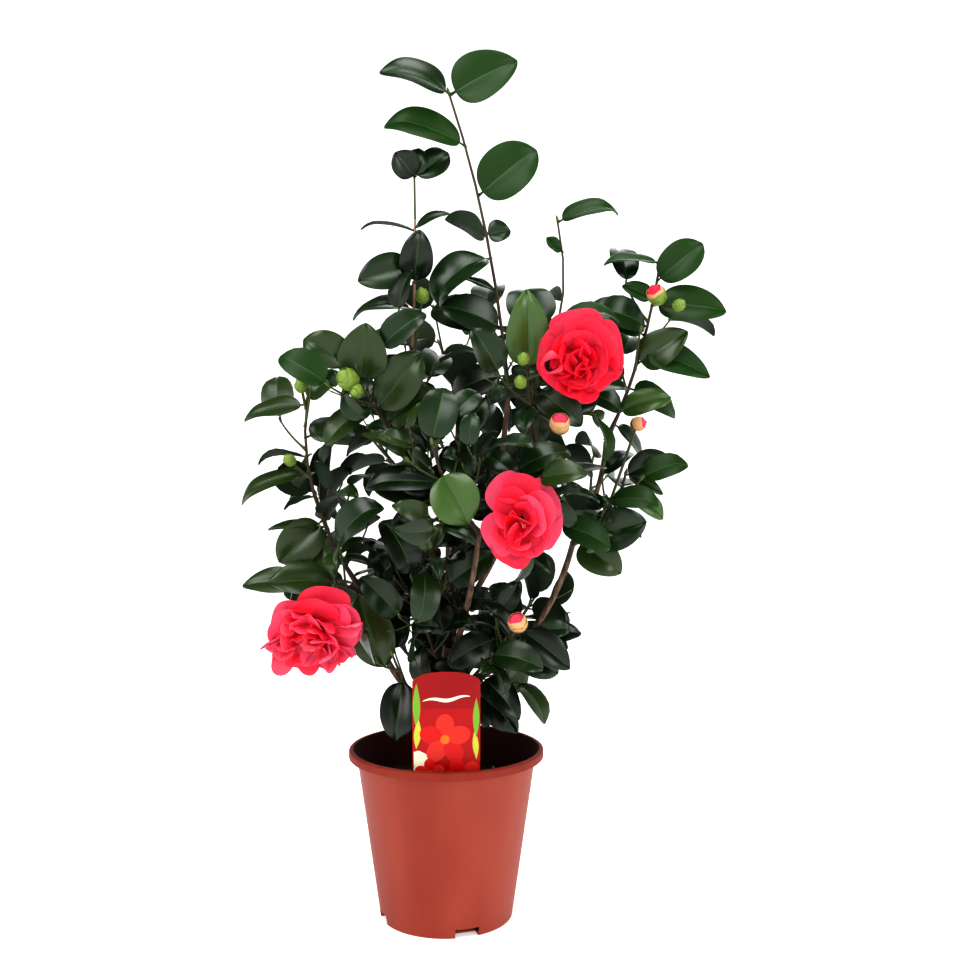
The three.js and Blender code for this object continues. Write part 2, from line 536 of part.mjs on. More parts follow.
function makePot() {
  const { height, lipRadius, lipHeight, lipRound, shoulderRadius, wall, floor } = POT;
  const shell = lathe(
    [
      [0, 0],
      [POT.baseRadius, 0],
      [shoulderRadius, height - lipHeight],
      [lipRadius - lipRound, height - lipHeight],
      [lipRadius, height - lipHeight + lipRound],
      [lipRadius, height - lipRound],
      [lipRadius - lipRound, height],
      [lipRadius - 2 * lipRound, height],
      [outerRadiusAt(height - 2 * lipHeight) - wall, height - 2 * lipHeight],
      [outerRadiusAt(floor) - wall, floor],
      [0, floor],
    ],
    POT.sides,
  );
  const cutters = Array.from({ length: NOTCH.count }, (_, i) => {
    const cutter = new THREE.BoxGeometry(NOTCH.width, NOTCH.outer - NOTCH.inner, NOTCH.height * 2);
    cutter.translate(0, -(NOTCH.inner + NOTCH.outer) / 2, 0);
    cutter.rotateZ((NOTCH.firstDeg + (360 / NOTCH.count) * i) * RADIANS);
    return solidOf(cutter);
  });
  return shell.subtract(unionOf(cutters));
}

// The outline of the label from its stake up, drawn flat; grow widens it all round.
function labelPlate(grow) {
  const half = LABEL.width / 2 + grow;
  const stake = LABEL.stakeWidth / 2 + grow;
  const shoulder = LABEL.top - LABEL.archRise;
  const outline = new THREE.Shape();
  outline.moveTo(-stake, LABEL.stakeBottom - grow);
  outline.lineTo(stake, LABEL.stakeBottom - grow);
  outline.lineTo(stake, LABEL.bottom - grow);
  outline.lineTo(half, LABEL.bottom - grow);
  outline.lineTo(half, shoulder);
  outline.quadraticCurveTo(half * 0.8, LABEL.top + grow, 0, LABEL.top + grow);
  outline.quadraticCurveTo(-half * 0.8, LABEL.top + grow, -half, shoulder);
  outline.lineTo(-half, LABEL.bottom - grow);
  outline.lineTo(-stake, LABEL.bottom - grow);
  const depth = LABEL.thick + 2 * grow;
  const plate = new THREE.ExtrudeGeometry(outline, { depth, bevelEnabled: false, curveSegments: 5 });
  plate.translate(0, -LABEL.stakeBottom, -depth / 2);
  plate.rotateX(Math.PI / 2 + LABEL.leanDeg * RADIANS);
  plate.translate(0, LABEL.y, LABEL.stakeBottom);
  return solidOf(plate);
}

function makeMix() {
  const inside = (z) => outerRadiusAt(z) - POT.wall - CLEAR;
  const floor = POT.floor + CLEAR;
  const edge = MIX.top - MIX.fall;
  const filled = lathe(
    [
      [0, floor],
      [inside(floor), floor],
      [inside(edge), edge],
      [MIX.flatRadius, MIX.top],
      [0, MIX.top],
    ],
    POT.sides,
  );
  return filled.subtract(labelPlate(CLEAR));
}

// Adds a named mesh of a solid in its own colour.
const shrub = new THREE.Group();
function addPiece(name, solid, color, roughness) {
  const material = new THREE.MeshStandardMaterial({ color, roughness, metalness: 0 });
  const mesh = new THREE.Mesh(geometryOf(solid), material);
  mesh.name = name;
  shrub.add(mesh);
}

// The limbs, and the same limbs grown by the clearance, which their neighbours are cut back from.
const curves = { trunk: bowed(TRUNK.from, TRUNK.to, TRUNK.bow) };
const grownLimbs = { trunk: limb(curves.trunk, TRUNK.r, LIMB_SIDES, 6, CLEAR, TRUNK.flare) };
const woody = { trunk: limb(curves.trunk, TRUNK.r, LIMB_SIDES, 6, 0, TRUNK.flare) };
for (const [name, bough] of Object.entries(BOUGHS)) {
  const foot = bough.of ? curves[bough.of].getPoint(1) : curves.trunk.getPoint(bough.leaves);
  curves[name] = bowed(foot, bough.to, bough.bow);
  const cut = Object.values(grownLimbs);
  grownLimbs[name] = limb(curves[name], bough.r, LIMB_SIDES, 4, CLEAR);
  woody[name] = largestOf(limb(curves[name], bough.r, LIMB_SIDES, 4).subtract(unionOf(cut)));
}

const pot = makePot();
const mix = makeMix();
const label = labelPlate(0);
addPiece("pot", pot, "#b5493a", 0.5);
addPiece("potting_mix", mix, "#1d1411", 0.95);
addPiece("care_label", label, "#d81e26", 0.35);
addPiece("trunk", woody.trunk, "#6f5a45", 0.8);
for (const name of Object.keys(BOUGHS)) addPiece(`bough_${name}`, woody[name], "#5c4d3a", 0.75);

// The stems, flowers and buds come first, then the leaves that are set by hand, the twigs and the other leaves.
// Each new piece keeps clear of all that is there. A label, flower or bud also keeps what is before it free.
const fixed = [pot, mix, label, ...Object.values(woody)];
const masses = Object.entries(MASSES).map(([name, mass]) => {
  const foot = mass.on === "trunk" ? curves.trunk.getPoint(mass.up) : curves[mass.on].getPoint(1);
  const stem = bowed(foot, mass.to, mass.bow);
  const grown = limb(stem, mass.r, STEM.sides, STEM.steps, CLEAR);
  const stemSolid = limb(stem, mass.r, STEM.sides, STEM.steps);
  return { name, mass, stem, grown, shoots: shootsOf(mass, stem), shootSolids: [stemSolid], ends: [], leaves: [] };
});
const kept = [new THREE.BoxGeometry(LABEL.width, IN_FRONT.length, LABEL.top - POT.height)];
kept[0].translate(0, LABEL.y - IN_FRONT.length / 2 - 1, (LABEL.top + POT.height) / 2);
const keptFree = [solidOf(kept[0])];
for (const [end, build] of [...FLOWERS.map((one) => [one, flowerSolid]), ...BUDS.map((one) => [one, budSolid])]) {
  const owner = masses.find(({ name }) => name === end.mass);
  const face = end.face.clone().normalize();
  const stalkEnd = end.at.clone().addScaledVector(face, -STALK.sunk * end.r);
  const stalk = limb(bowed(owner.stem.getPoint(end.up), stalkEnd, STALK.bow), STALK.r, STALK.sides, STALK.steps);
  owner.ends.push(stalk, build(end.at, end.face, end.r));
  const before = end.at.clone().add(at(0, Math.sign(face.y) * IN_FRONT.length, 0));
  const width = end.r * IN_FRONT.share;
  keptFree.push(limb(bowed(end.at, before, at(0, 0, 0)), [width, width], 6, 1));
}
const solidsOf = ({ shootSolids, ends, leaves }) => [...shootSolids, ...ends, ...leaves];
const solidsBeside = (one) => [...fixed, ...masses.filter((other) => other !== one).flatMap(solidsOf)];

for (const one of masses) {
  const blocked = solidsBeside(one);
  for (const row of one.mass.set) {
    const leaf = setLeaf(one.stem.getPoint(Math.min(0.985, row[0])), row);
    if (isClear(leaf, blocked, CLEAR)) one.leaves.push(leaf);
  }
}
for (const one of masses) {
  const blocked = [...solidsBeside(one), ...one.ends, ...one.leaves, ...keptFree];
  one.shoots = one.shoots.filter(({ curve, r, sides, steps }, index) => {
    if (index === 0) return true;
    const solid = limb(curve, r, sides, steps);
    const isFree = isClear(solid, blocked, CLEAR);
    if (isFree) one.shootSolids.push(solid);
    return isFree;
  });
}
for (const one of masses) {
  one.shoots.forEach((shoot, index) => {
    const ownBlocked = [...one.ends, ...one.leaves, ...one.shootSolids.filter((_, i) => i !== index)];
    one.leaves.push(...leavesOf(one.mass, shoot, [...solidsBeside(one), ...ownBlocked, ...keptFree]));
  });
}
masses.forEach((one, i) => {
  const cut = [...Object.values(grownLimbs), ...masses.slice(0, i).map((other) => other.grown)];
  const whole = unionOf(solidsOf(one)).subtract(unionOf(cut));
  addPiece(`foliage_${one.name}`, largestOf(whole), "#1f3d22", 0.35);
});

export default shrub;
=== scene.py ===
"""A camellia shrub in flower in its nursery pot: the looks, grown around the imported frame."""

import math
import random
from collections import namedtuple
from contextlib import contextmanager
from types import SimpleNamespace

import bmesh
import bpy
import numpy as np
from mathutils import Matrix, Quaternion, Vector, noise
from mathutils.bvhtree import BVHTree
from mathutils.kdtree import KDTree


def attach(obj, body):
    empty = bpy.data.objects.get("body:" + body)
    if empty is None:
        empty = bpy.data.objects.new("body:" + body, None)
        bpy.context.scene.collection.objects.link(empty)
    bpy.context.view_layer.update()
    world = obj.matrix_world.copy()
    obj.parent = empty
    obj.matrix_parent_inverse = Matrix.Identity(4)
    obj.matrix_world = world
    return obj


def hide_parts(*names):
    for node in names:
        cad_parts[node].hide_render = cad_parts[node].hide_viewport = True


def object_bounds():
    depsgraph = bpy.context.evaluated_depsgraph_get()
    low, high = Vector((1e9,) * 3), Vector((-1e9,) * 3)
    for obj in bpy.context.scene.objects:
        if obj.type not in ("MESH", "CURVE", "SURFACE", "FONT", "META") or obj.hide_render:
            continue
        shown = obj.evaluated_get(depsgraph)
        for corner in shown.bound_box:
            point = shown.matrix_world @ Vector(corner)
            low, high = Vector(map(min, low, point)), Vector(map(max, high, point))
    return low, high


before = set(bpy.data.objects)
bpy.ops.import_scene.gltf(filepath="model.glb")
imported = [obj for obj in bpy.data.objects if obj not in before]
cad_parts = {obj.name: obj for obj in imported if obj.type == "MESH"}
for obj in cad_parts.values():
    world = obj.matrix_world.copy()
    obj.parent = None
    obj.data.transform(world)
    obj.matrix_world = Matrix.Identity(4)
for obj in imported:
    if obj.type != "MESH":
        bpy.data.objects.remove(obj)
cad_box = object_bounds()

# Sizes are in millimetres, as in the rule that the solids grew by, and MM turns them to metres where a mesh
# is made. Seen from the front, X goes to the right, Y to the back and Z up. Names that end in deg hold
# degrees.
MM = 0.001
UP = Vector((0, 0, 1))
CLEAR = 0.35  # the gap between any two solids
GOLDEN_DEG = 137.5
ALL_ROUND = (0, 6.3)  # a draw of any turn or phase, in radians
NEAR = 0.002  # corners of a shape lie in one row or ring where they are this near in height

# The pot: an injection-moulded nursery container, 15 cm across its lip and 13 cm tall.
POT = SimpleNamespace(height=130, lip_radius=75, lip_height=6.5, shoulder_radius=68.6, base_radius=51,
                      wall=1.8, floor=2, foot_round=1.2, step_round=0.8, rim_round=1.6, inner_rim_round=0.9,
                      floor_round=2, lead_in=0.1, sides=144)
NOTCH = SimpleNamespace(count=4, width=18.5, height=7, inner=41, outer=56, first_deg=17.6)

# How a face of the pot is told: how far its normal leans in or up, and the margins of the floor and the lip.
POT_FACE = SimpleNamespace(inward=-0.2, upward=0.1, margin=0.5)

# The potting mix: it is level in its middle and falls to its edge. A lump is its height, its waves over the
# radius and the slice of the noise that it takes.
MIX = SimpleNamespace(top=104, fall=2, slope=1.4, gap=0.2, depth=9, sides=72, rings=14, ring=0.066,
                      lumps=[(2.2, 5, 3), (1.1, 14, 7)])
CHIPS = SimpleNamespace(count=420, reach=0.95, rise=(-0.2, 0.9), sizes=[(2, 7), (1.4, 3.4), (0.8, 1.8)],
                        tilt=(-0.5, 0.5), bevel=0.2, turns=7, per_grain=14, grain=(1.5, 1.3, 1.2))

# The care label: a thin card on a stake, which leans on the pot's lip.
LABEL = SimpleNamespace(width=49, thick=0.9, arch_rise=7, arch_bow=0.15, top=201, bottom=107, stake_width=13,
                        stake_bottom=74, y=-55.5, lean_deg=4, ink=0.05, ink_rise=0.2, edge=0.4, band=100)
BLOSSOM = SimpleNamespace(petals=5, spread=0.62, long=0.5, wide=0.4, gold=0.2)  # shares of a blossom's size

# The woody parts: where each limb begins and ends, how far its middle bows, and its end radii. A bough
# leaves the trunk part of the way up it, or grows on from the end of another bough.
TRUNK = dict(start=(-2, 0, MIX.top + CLEAR), end=(5, 2, 236), bow=(-3, 1, 0), r=(5.4, 3.7))
BOUGHS = {
    "left": dict(leaves=0.38, end=(-62, -14, 250), bow=(-8, -2, -12), r=(3, 2)),
    "right": dict(leaves=0.5, end=(97, -4, 287), bow=(14, 0, -14), r=(3.2, 2.2)),
    "front": dict(leaves=0.66, end=(24, -52, 300), bow=(2, -12, -8), r=(2.7, 1.9)),
    "back": dict(leaves=0.58, end=(2, 66, 300), bow=(0, 14, -10), r=(2.9, 2)),
    "crown_left": dict(leaves=0.93, end=(-31, -12, 360), bow=(-2, -4, 4), r=(2.8, 2)),
    "crown_right": dict(leaves=0.97, end=(48, 6, 404), bow=(8, 0, -4), r=(2.9, 2)),
    "crown_front": dict(leaves=0.9, end=(66, -40, 366), bow=(6, -6, -6), r=(2.4, 1.8)),
    "crown_back": dict(leaves=0.95, end=(10, 58, 392), bow=(0, 10, -4), r=(2.6, 1.8)),
    "right_upper": dict(of="right", end=(122, -6, 366), bow=(5, 0, -2), r=(2.1, 1.8)),
}
# The bark's relief: its height as a share of the radius, and its waves across and along the limb.
BARK = SimpleNamespace(relief=0.07, across=0.4, along=0.08, trunk_collar=0.5, bough_collar=0.3)

# The crown's reach at some heights: height, to the left, to the right, and to the front and back.
CROWN = [
    (135, -52, 64, 78), (200, -92, 100, 112), (255, -150, 116, 132), (300, -154, 150, 142),
    (340, -160, 182, 144), (430, -152, 208, 134), (470, -104, 219, 122), (530, -66, 200, 84),
    (600, -52, 92, 50), (664, -52, 62, 40),
]

# The foliage: every mass is a stem with side twigs, all leafy. look is where its blades face, and gap is a
# stretch of the stem that the rule leaves bare. placed holds the leaves that stand clear of the crown: how
# far up the stem each is, its heading in the front view (0 is right, 90 up), how far it comes forward, its
# length, how far its face turns up from the front, its arch and its width, and for some their tone.
# The light and olive tones that some placed leaves take are partly the leaf's colour and partly a painted
# sheen.
FRONT = (0, -0.75, 0.66)
BACK = (0, 0.75, 0.66)
MASSES = {
    "leader": dict(
        on="crown_right", seed=11, to=(2, 0, 631), bow=(6, 0, 6), r=(1.5, 0.9), bare=0.02, spacing=17,
        leaf=50, look=FRONT, twigs=1, twig=44, reach=(0.04, 0.24), aim=200, gap=(0.22, 1),
        placed=[
            (1, 27, 0, 58, 15, 30, 0.67), (0.985, 164, 5, 56, 42, 62, 0.58),
            (0.8, 162, 5, 66, 34, 45, 0.46), (0.63, 37, 10, 57, 12, 30, 0.7),
            (0.49, 148, -25, 40, 128, 20, 0.62), (0.5, 12, 5, 19, 20, 25, 1),
            (0.42, 221, 10, 58, 58, 84, 0.6), (0.31, 157, 0, 30, 60, 30, 0.4),
        ],
    ),
    "second_leader": dict(
        on="crown_left", seed=23, to=(-24, 4, 570), bow=(3, 4, 0), r=(1.4, 0.9), bare=0.08, spacing=17,
        leaf=47, look=FRONT, twigs=3, twig=42, reach=(0.12, 0.4), aim=60, gap=(0.5, 1),
        placed=[
            (1, 128, 30, 25, 10, 24, 0.9, "dark"), (1, 84, 0, 23, 20, 20, 0.8),
            (0.985, 36, -10, 34, 10, 24, 0.66), (0.79, 173, 0, 42, 84, 30, 0.36),
            (0.8, 20, 20, 30, 50, 40, 0.5), (0.66, 194, 15, 46, 10, 30, 0.62),
            (0.6, 84, 22, 42, 5, 30, 0.6, "dark"), (0.5, 186, 0, 48, 62, 70, 0.5),
        ],
    ),
    "thin_leader": dict(
        on="crown_right", seed=31, to=(87, 22, 539), bow=(20, 6, -14), r=(1.3, 0.8), bare=0.08, spacing=17,
        leaf=46, look=(0.2, -0.6, 0.8), twigs=2, twig=42, reach=(0.1, 0.4), aim=120, gap=(0.5, 1),
        placed=[(1, 14, 0, 50, 52, 50, 0.5), (0.86, 140, 5, 17, 20, 20, 0.62)],
    ),
    "left_upper": dict(
        on="crown_left", seed=47, to=(-70, -36, 426), bow=(-5, -4, 2), r=(1.6, 1), bare=0.12, spacing=15,
        leaf=50, look=(-0.3, -0.8, 0.55), twigs=5, twig=44, reach=(0.14, 0.8), aim=30,
        placed=[
            (0.95, 150, 10, 40, 10, 30, 0.66), (0.7, 86, 15, 46, 2, 25, 0.78),
            (0.4, 50, 15, 56, 6, 30, 0.58),
        ],
    ),
    "left_outer": dict(
        on="left", seed=53, to=(-106, 2, 398), bow=(-16, 0, 0), r=(1.7, 1), bare=0.15, spacing=16, leaf=46,
        look=(-0.4, -0.6, 0.66), twigs=6, twig=46, reach=(0.2, 0.92), aim=80,
        placed=[
            (0.97, 192, 0, 50, 55, 20, 0.5), (0.62, 200, 0, 58, 60, 30, 0.42),
            (0.38, 226, 10, 46, 0, 30, 0.68), (0.34, 182, 0, 44, 74, 20, 0.44),
        ],
    ),
    "left_low": dict(
        on="left", seed=61, to=(-104, -40, 260), bow=(-2, -4, 6), r=(1.7, 1.1), bare=0.15, spacing=16,
        leaf=50, look=(-0.3, -0.7, 0.7), twigs=3, twig=40, reach=(0.2, 0.7), aim=20,
        placed=[
            (1, 178, 0, 46, 50, 30, 0.55), (0.45, 176, 18, 50, 40, 30, 0.6),
            (0.12, -68, 10, 62, 0, 30, 0.55),
        ],
    ),
    "right_upper": dict(
        on="right_upper", seed=71, to=(163, -8, 503), bow=(4, 0, -6), r=(1.6, 1), bare=0.1, spacing=16,
        leaf=48, look=(0.2, -0.75, 0.6), twigs=5, twig=42, reach=(0.12, 0.76), aim=70, gap=(0.8, 1),
        placed=[
            (0.99, 178, 0, 43, 62, 24, 0.5), (0.9, 40, 10, 44, 15, 50, 0.62),
            (0.78, -3, 10, 56, 26, 30, 0.56), (0.47, 33, 15, 46, 15, 30, 0.6, "olive"),
            (0.55, -20, 10, 56, 25, 30, 0.45), (0.18, 18, 10, 42, 30, 50, 0.5, "light"),
            (0.62, 152, 0, 50, 35, 40, 0.56), (0.82, 160, 0, 26, 20, 20, 0.6),
        ],
    ),
    "right_outer": dict(
        on="right", seed=83, to=(137, -10, 342), bow=(6, 0, -8), r=(1.5, 0.9), bare=0.2, spacing=17,
        leaf=40, look=(0.4, -0.7, 0.6), twigs=3, twig=36, reach=(0.3, 0.8), aim=100,
        placed=[
            (0.97, 25, 5, 36, 25, 30, 0.62), (1, -28, 5, 32, 40, 30, 0.4, "olive"),
            (0.86, -34, 5, 40, 30, 30, 0.44, "light"),
        ],
    ),
    "right_low": dict(
        on="right", seed=97, to=(122, -26, 296), bow=(0, -4, 4), r=(1.5, 0.9), bare=0.15, spacing=15,
        leaf=48, look=(0.3, -0.7, 0.65), twigs=2, twig=34, reach=(0.2, 0.8), aim=210,
        placed=[(0.4, 12, 12, 46, 10, 40, 0.7), (0.15, -40, 15, 42, 5, 30, 0.66, "olive")],
    ),
    "crown_front": dict(
        on="crown_front", seed=101, to=(64, -66, 448), bow=(-6, -2, 4), r=(1.6, 0.9), bare=0.12, spacing=16,
        leaf=48, look=FRONT, twigs=6, twig=42, reach=(0.12, 0.8), aim=150, gap=(0.78, 1),
        placed=[(0.56, 92, 20, 60, 0, 16, 0.52, "light"), (0.95, 96, -35, 44, 20, 30, 0.8)],
    ),
    "front": dict(
        on="front", seed=113, to=(-10, -84, 366), bow=(-4, -2, -4), r=(1.6, 1), bare=0.1, spacing=16,
        leaf=50, look=FRONT, twigs=8, twig=44, reach=(0.1, 0.86), aim=260,
        placed=[(0.72, -60, 16, 42, 4, 30, 0.82, "light"), (0.6, 181, 4, 58, 48, 34, 0.44)],
    ),
    "front_right": dict(
        on="front", seed=127, to=(72, -78, 330), bow=(0, -4, -6), r=(1.6, 1), bare=0.15, spacing=16,
        leaf=47, look=FRONT, twigs=6, twig=40, reach=(0.15, 0.86), aim=40,
    ),
    "low_right": dict(
        on="trunk", up=0.28, seed=131, to=(55, -44, 228), bow=(3, -4, 6), r=(1.7, 0.9), bare=0.3,
        spacing=15, leaf=49, look=(0.2, -0.8, 0.55), twigs=6, twig=40, reach=(0.3, 0.9), aim=90,
        placed=[
            (1, -36, 5, 46, 30, 40, 0.5), (0.78, -26, 8, 44, 20, 30, 0.55),
            (0.42, -49, 18, 48, 0, 26, 0.54),
        ],
    ),
    "low_left": dict(
        on="trunk", up=0.22, seed=149, to=(-40, -42, 210), bow=(-4, -4, 2), r=(1.6, 0.9), bare=0.35,
        spacing=15, leaf=48, look=(-0.2, -0.8, 0.55), twigs=3, twig=38, reach=(0.35, 0.9), aim=40,
        gap=(0.5, 1),
        placed=[(0.72, 263, 24, 47, 0, 26, 0.58)],
    ),
    "low_back": dict(
        on="trunk", up=0.34, seed=151, to=(10, 76, 222), bow=(0, 6, 0), r=(1.7, 0.9), bare=0.3, spacing=15,
        leaf=49, look=BACK, twigs=4, twig=44, reach=(0.3, 0.9), aim=90,
    ),
    "low_back_left": dict(
        on="trunk", up=0.52, seed=157, to=(-74, 62, 250), bow=(-4, 8, -4), r=(1.7, 0.9), bare=0.3,
        spacing=15, leaf=49, look=(-0.5, 0.6, 0.66), twigs=4, twig=44, reach=(0.3, 0.9), aim=70,
    ),
    "low_back_right": dict(
        on="trunk", up=0.44, seed=167, to=(74, 58, 240), bow=(4, 8, -4), r=(1.7, 0.9), bare=0.3, spacing=15,
        leaf=49, look=(0.5, 0.6, 0.66), twigs=3, twig=44, reach=(0.3, 0.9), aim=20,
    ),
    "centre": dict(
        on="trunk", up=0.8, seed=163, to=(14, -16, 366), bow=(6, -4, 0), r=(1.6, 0.9), bare=0.1, spacing=15,
        leaf=48, look=FRONT, twigs=6, twig=40, reach=(0.12, 0.9), aim=330,
    ),
    "centre_low": dict(
        on="trunk", up=0.62, seed=229, to=(-22, -34, 262), bow=(-4, -4, 0), r=(1.6, 0.9), bare=0.2,
        spacing=15, leaf=50, look=FRONT, twigs=6, twig=42, reach=(0.2, 0.9), aim=15,
    ),
    "centre_right": dict(
        on="crown_right", seed=233, to=(84, -34, 404), bow=(4, -8, -10), r=(1.5, 0.9), bare=0.1, spacing=15,
        leaf=50, look=FRONT, twigs=4, twig=42, reach=(0.2, 0.9), aim=250,
    ),
    "left_back": dict(
        on="left", seed=211, to=(-104, 60, 326), bow=(-6, 8, -4), r=(1.6, 0.9), bare=0.15, spacing=16,
        leaf=47, look=(-0.7, 0.3, 0.66), twigs=4, twig=44, reach=(0.2, 0.9), aim=140,
    ),
    "right_back": dict(
        on="right", seed=223, to=(120, 66, 338), bow=(4, 8, -4), r=(1.6, 0.9), bare=0.15, spacing=16,
        leaf=47, look=(0.7, 0.3, 0.66), twigs=5, twig=44, reach=(0.2, 0.9), aim=240,
    ),
    "back_left": dict(
        on="back", seed=173, to=(-58, 98, 366), bow=(-6, 6, 2), r=(1.7, 1), bare=0.1, spacing=16, leaf=49,
        look=(-0.4, 0.7, 0.6), twigs=5, twig=46, reach=(0.12, 0.9), aim=50,
    ),
    "back_right": dict(
        on="back", seed=181, to=(66, 98, 352), bow=(6, 6, 2), r=(1.6, 1), bare=0.1, spacing=16, leaf=49,
        look=(0.4, 0.7, 0.6), twigs=5, twig=46, reach=(0.12, 0.9), aim=130,
    ),
    "back_upper": dict(
        on="crown_back", seed=193, to=(-6, 88, 448), bow=(0, 4, 4), r=(1.7, 0.9), bare=0.06, spacing=16,
        leaf=49, look=BACK, twigs=5, twig=46, reach=(0.08, 0.86), aim=20,
    ),
    "back_crown_right": dict(
        on="crown_back", seed=199, to=(88, 66, 438), bow=(4, 6, 4), r=(1.6, 0.9), bare=0.1, spacing=16,
        leaf=48, look=(0.5, 0.55, 0.66), twigs=4, twig=44, reach=(0.15, 0.86), aim=200,
    ),
}

# Open flowers and buds: the mass and the share of its stem that their stalks leave from, their middles,
# where they face and their radii. A bud is green while its scales are shut, and cream or red as it opens. A
# flower also has its own oval, the fullness of its guard petals, how far its heart lies off its middle, how
# many crumpled petals are in the heart and how far they reach, how much its petals ruffle, how pale they
# are, and its petals that stand alone, by where round the rim they are.
FLOWERS = [
    dict(mass="crown_front", up=0.5, at=(94, -84, 428), face=(-0.1, -1, 0.05), r=30, seed=5,
         oval=(1.04, 1.04), full=1, heart=(-0.08, -0.34), clump=(11, 0.38), ruffled=0.7, paler=0.2,
         single={"rolled": (163,)}),
    dict(mass="front_right", up=0.55, at=(51, -98, 314), face=(-0.25, -1, -0.1), r=31, seed=12,
         oval=(0.95, 1.1), full=0.8, heart=(-0.04, -0.16), clump=(7, 0.3), ruffled=0.8, paler=0.8,
         single={"lobe": (192, 222), "tuft": (75,)}, notch_deg=152),
    dict(mass="left_low", up=0.45, at=(-95, -66, 231), face=(-0.3, -0.8, -0.4), r=38, seed=21,
         oval=(1.07, 0.78), full=0.8, heart=(-0.05, -0.14), clump=(13, 0.5), ruffled=1.1, paler=1.2,
         single={"ragged": (236, 254, 270, 284, 300), "tuft": (250,)}),
]
BUDS = [
    dict(mass="right_upper", up=0.8, at=(156, -30, 475), face=(-0.5, -0.5, 0.7), r=7.6, look="red"),
    dict(mass="right_upper", up=0.8, at=(173, -32, 467), face=(0.6, -0.6, 0.5), r=4.8, look="green"),
    dict(mass="right_outer", up=0.4, at=(142, -40, 379), face=(0.8, -0.5, 0.2), r=5.6, look="cream"),
    dict(mass="crown_front", up=0.25, at=(80, -78, 379), face=(-0.1, -0.7, 0.7), r=7.6, look="cream"),
    dict(mass="crown_front", up=0.45, at=(52, -82, 408), face=(-0.2, -0.5, 0.8), r=4.6, look="green"),
    dict(mass="crown_front", up=0.6, at=(54, -84, 424), face=(0, -0.6, 0.8), r=4.4, look="green"),
    dict(mass="low_right", up=0.7, at=(51, -70, 237), face=(-0.3, -0.7, 0.8), r=7.4, look="cream"),
    dict(mass="left_upper", up=0.8, at=(-71, -56, 411), face=(-0.6, -0.6, 0.5), r=8.2, look="green"),
    dict(mass="left_upper", up=0.75, at=(-64, -58, 402), face=(-0.4, -0.7, -0.3), r=5.4, look="green"),
    dict(mass="left_outer", up=0.95, at=(-110, -8, 408), face=(-0.5, -0.3, 0.8), r=5, look="green"),
    dict(mass="left_outer", up=0.6, at=(-118, -14, 352), face=(-0.6, -0.5, 0.6), r=4.8, look="green"),
    dict(mass="second_leader", up=0.3, at=(-18, -12, 476), face=(-0.2, -0.3, 0.9), r=5.6, look="green"),
    dict(mass="back_left", up=0.7, at=(-66, 110, 372), face=(-0.2, 0.7, 0.7), r=7, look="red"),
    dict(mass="back_right", up=0.7, at=(88, 110, 366), face=(0.2, 0.8, 0.6), r=7, look="cream"),
    dict(mass="back_upper", up=0.7, at=(24, 108, 426), face=(0.1, 0.7, 0.7), r=6, look="green"),
]

# How a leaf grows. Angles are in degrees; a pair is a range that each leaf draws from.
LEAF = SimpleNamespace(
    rise=(44, 74),  # from the shoot's own direction
    tip_rise=22,  # for the last leaf of a shoot
    swing=42,  # to either side of the two ranks
    sag=(0, 0.45),
    roll=46,
    along=0.5,  # how far its face leans along the shoot
    arch=(24, 76),
    fold=(0.12, 0.36),
    placed_fold=0.22,  # for a leaf that stands clear
    length=(0.72, 1.1),
    slim=(0.48, 0.63),  # width over length
    tries=9,
    last=0.985,  # how far up a shoot its last leaf leaves it
)
TWIG = SimpleNamespace(angle_deg=50, lift=0.25, bow=0.06, shorten=0.3, length=(0.85, 1.15), r=(1, 0.7),
                       bare=0.28, spacing=17)
STALK = SimpleNamespace(r=(1.2, 1.1), bow=(0, 0, -1), sunk=0.3)

# A leaf or twig is one that the solids hold where its end lies this near to a corner of its mass.
LEAF_MATCH = 0.05
TWIG_MATCH = 1

# How far apart the seeds of masses, twigs and leaves lie, what is added to a shoot's seed for further draws,
# and the seeds of what only the looks draw.
MASS_SEEDS, TWIG_SEEDS, LEAF_SEEDS = 1000, 100, 10
GAP_SEED, SIDE_SEED, FINER_SEED, TONE_SEED = 50021, 7001, 9001, 3
LEAF_LOOKS_SEED, MIX_SEED = 4, 9

# Finer growth that only the looks have: side twigs of the stems and twigs, with smaller leaves. It keeps
# below a height and within a distance to the sides, where the shoots stand apart.
FINER = SimpleNamespace(twig=(0.5, 0.85), second_twig=0.7, leaf=(0.56, 0.86), r=(0.8, 0.5), bare=0.15,
                        spacing=12, tries=7, reach=(0.2, 0.95), stem_twigs=6, twig_twigs=2, top=432,
                        side=128, scatter=1.8, slim=0.9)
LEAF_FOOT, TWIG_FOOT = 0.2, 1 / 6  # the first part of a leaf and of a twig, which may stand before a bud
OPEN_MASSES = ("leader", "second_leader", "thin_leader")  # they stand clear of the crown, and stay open

# What finer growth leaves free: a flower or bud and what is before it, in shares of its radius, the label
# with a margin beside, above and behind it, and the gaps of sky, from left to right and from low to high.
FREE_BESIDE = 1.05
FREE_BEHIND = 0.4
LABEL_MARGIN = (1, 2, 3)
SKY = [
    (-84, -38, 300, 352), (-8, 26, 412, 470), (70, 100, 240, 290), (100, 130, 330, 372),
    (-150, -80, 372, 400), (-40, 4, 424, 480), (40, 75, 440, 480), (-64, -36, 190, 226),
    (-72, -36, 158, 188),
]
FLOWER_DEPTH, BUD_DEPTH = 0.6, 1.1  # the space that each takes up along its axis, in shares of its radius

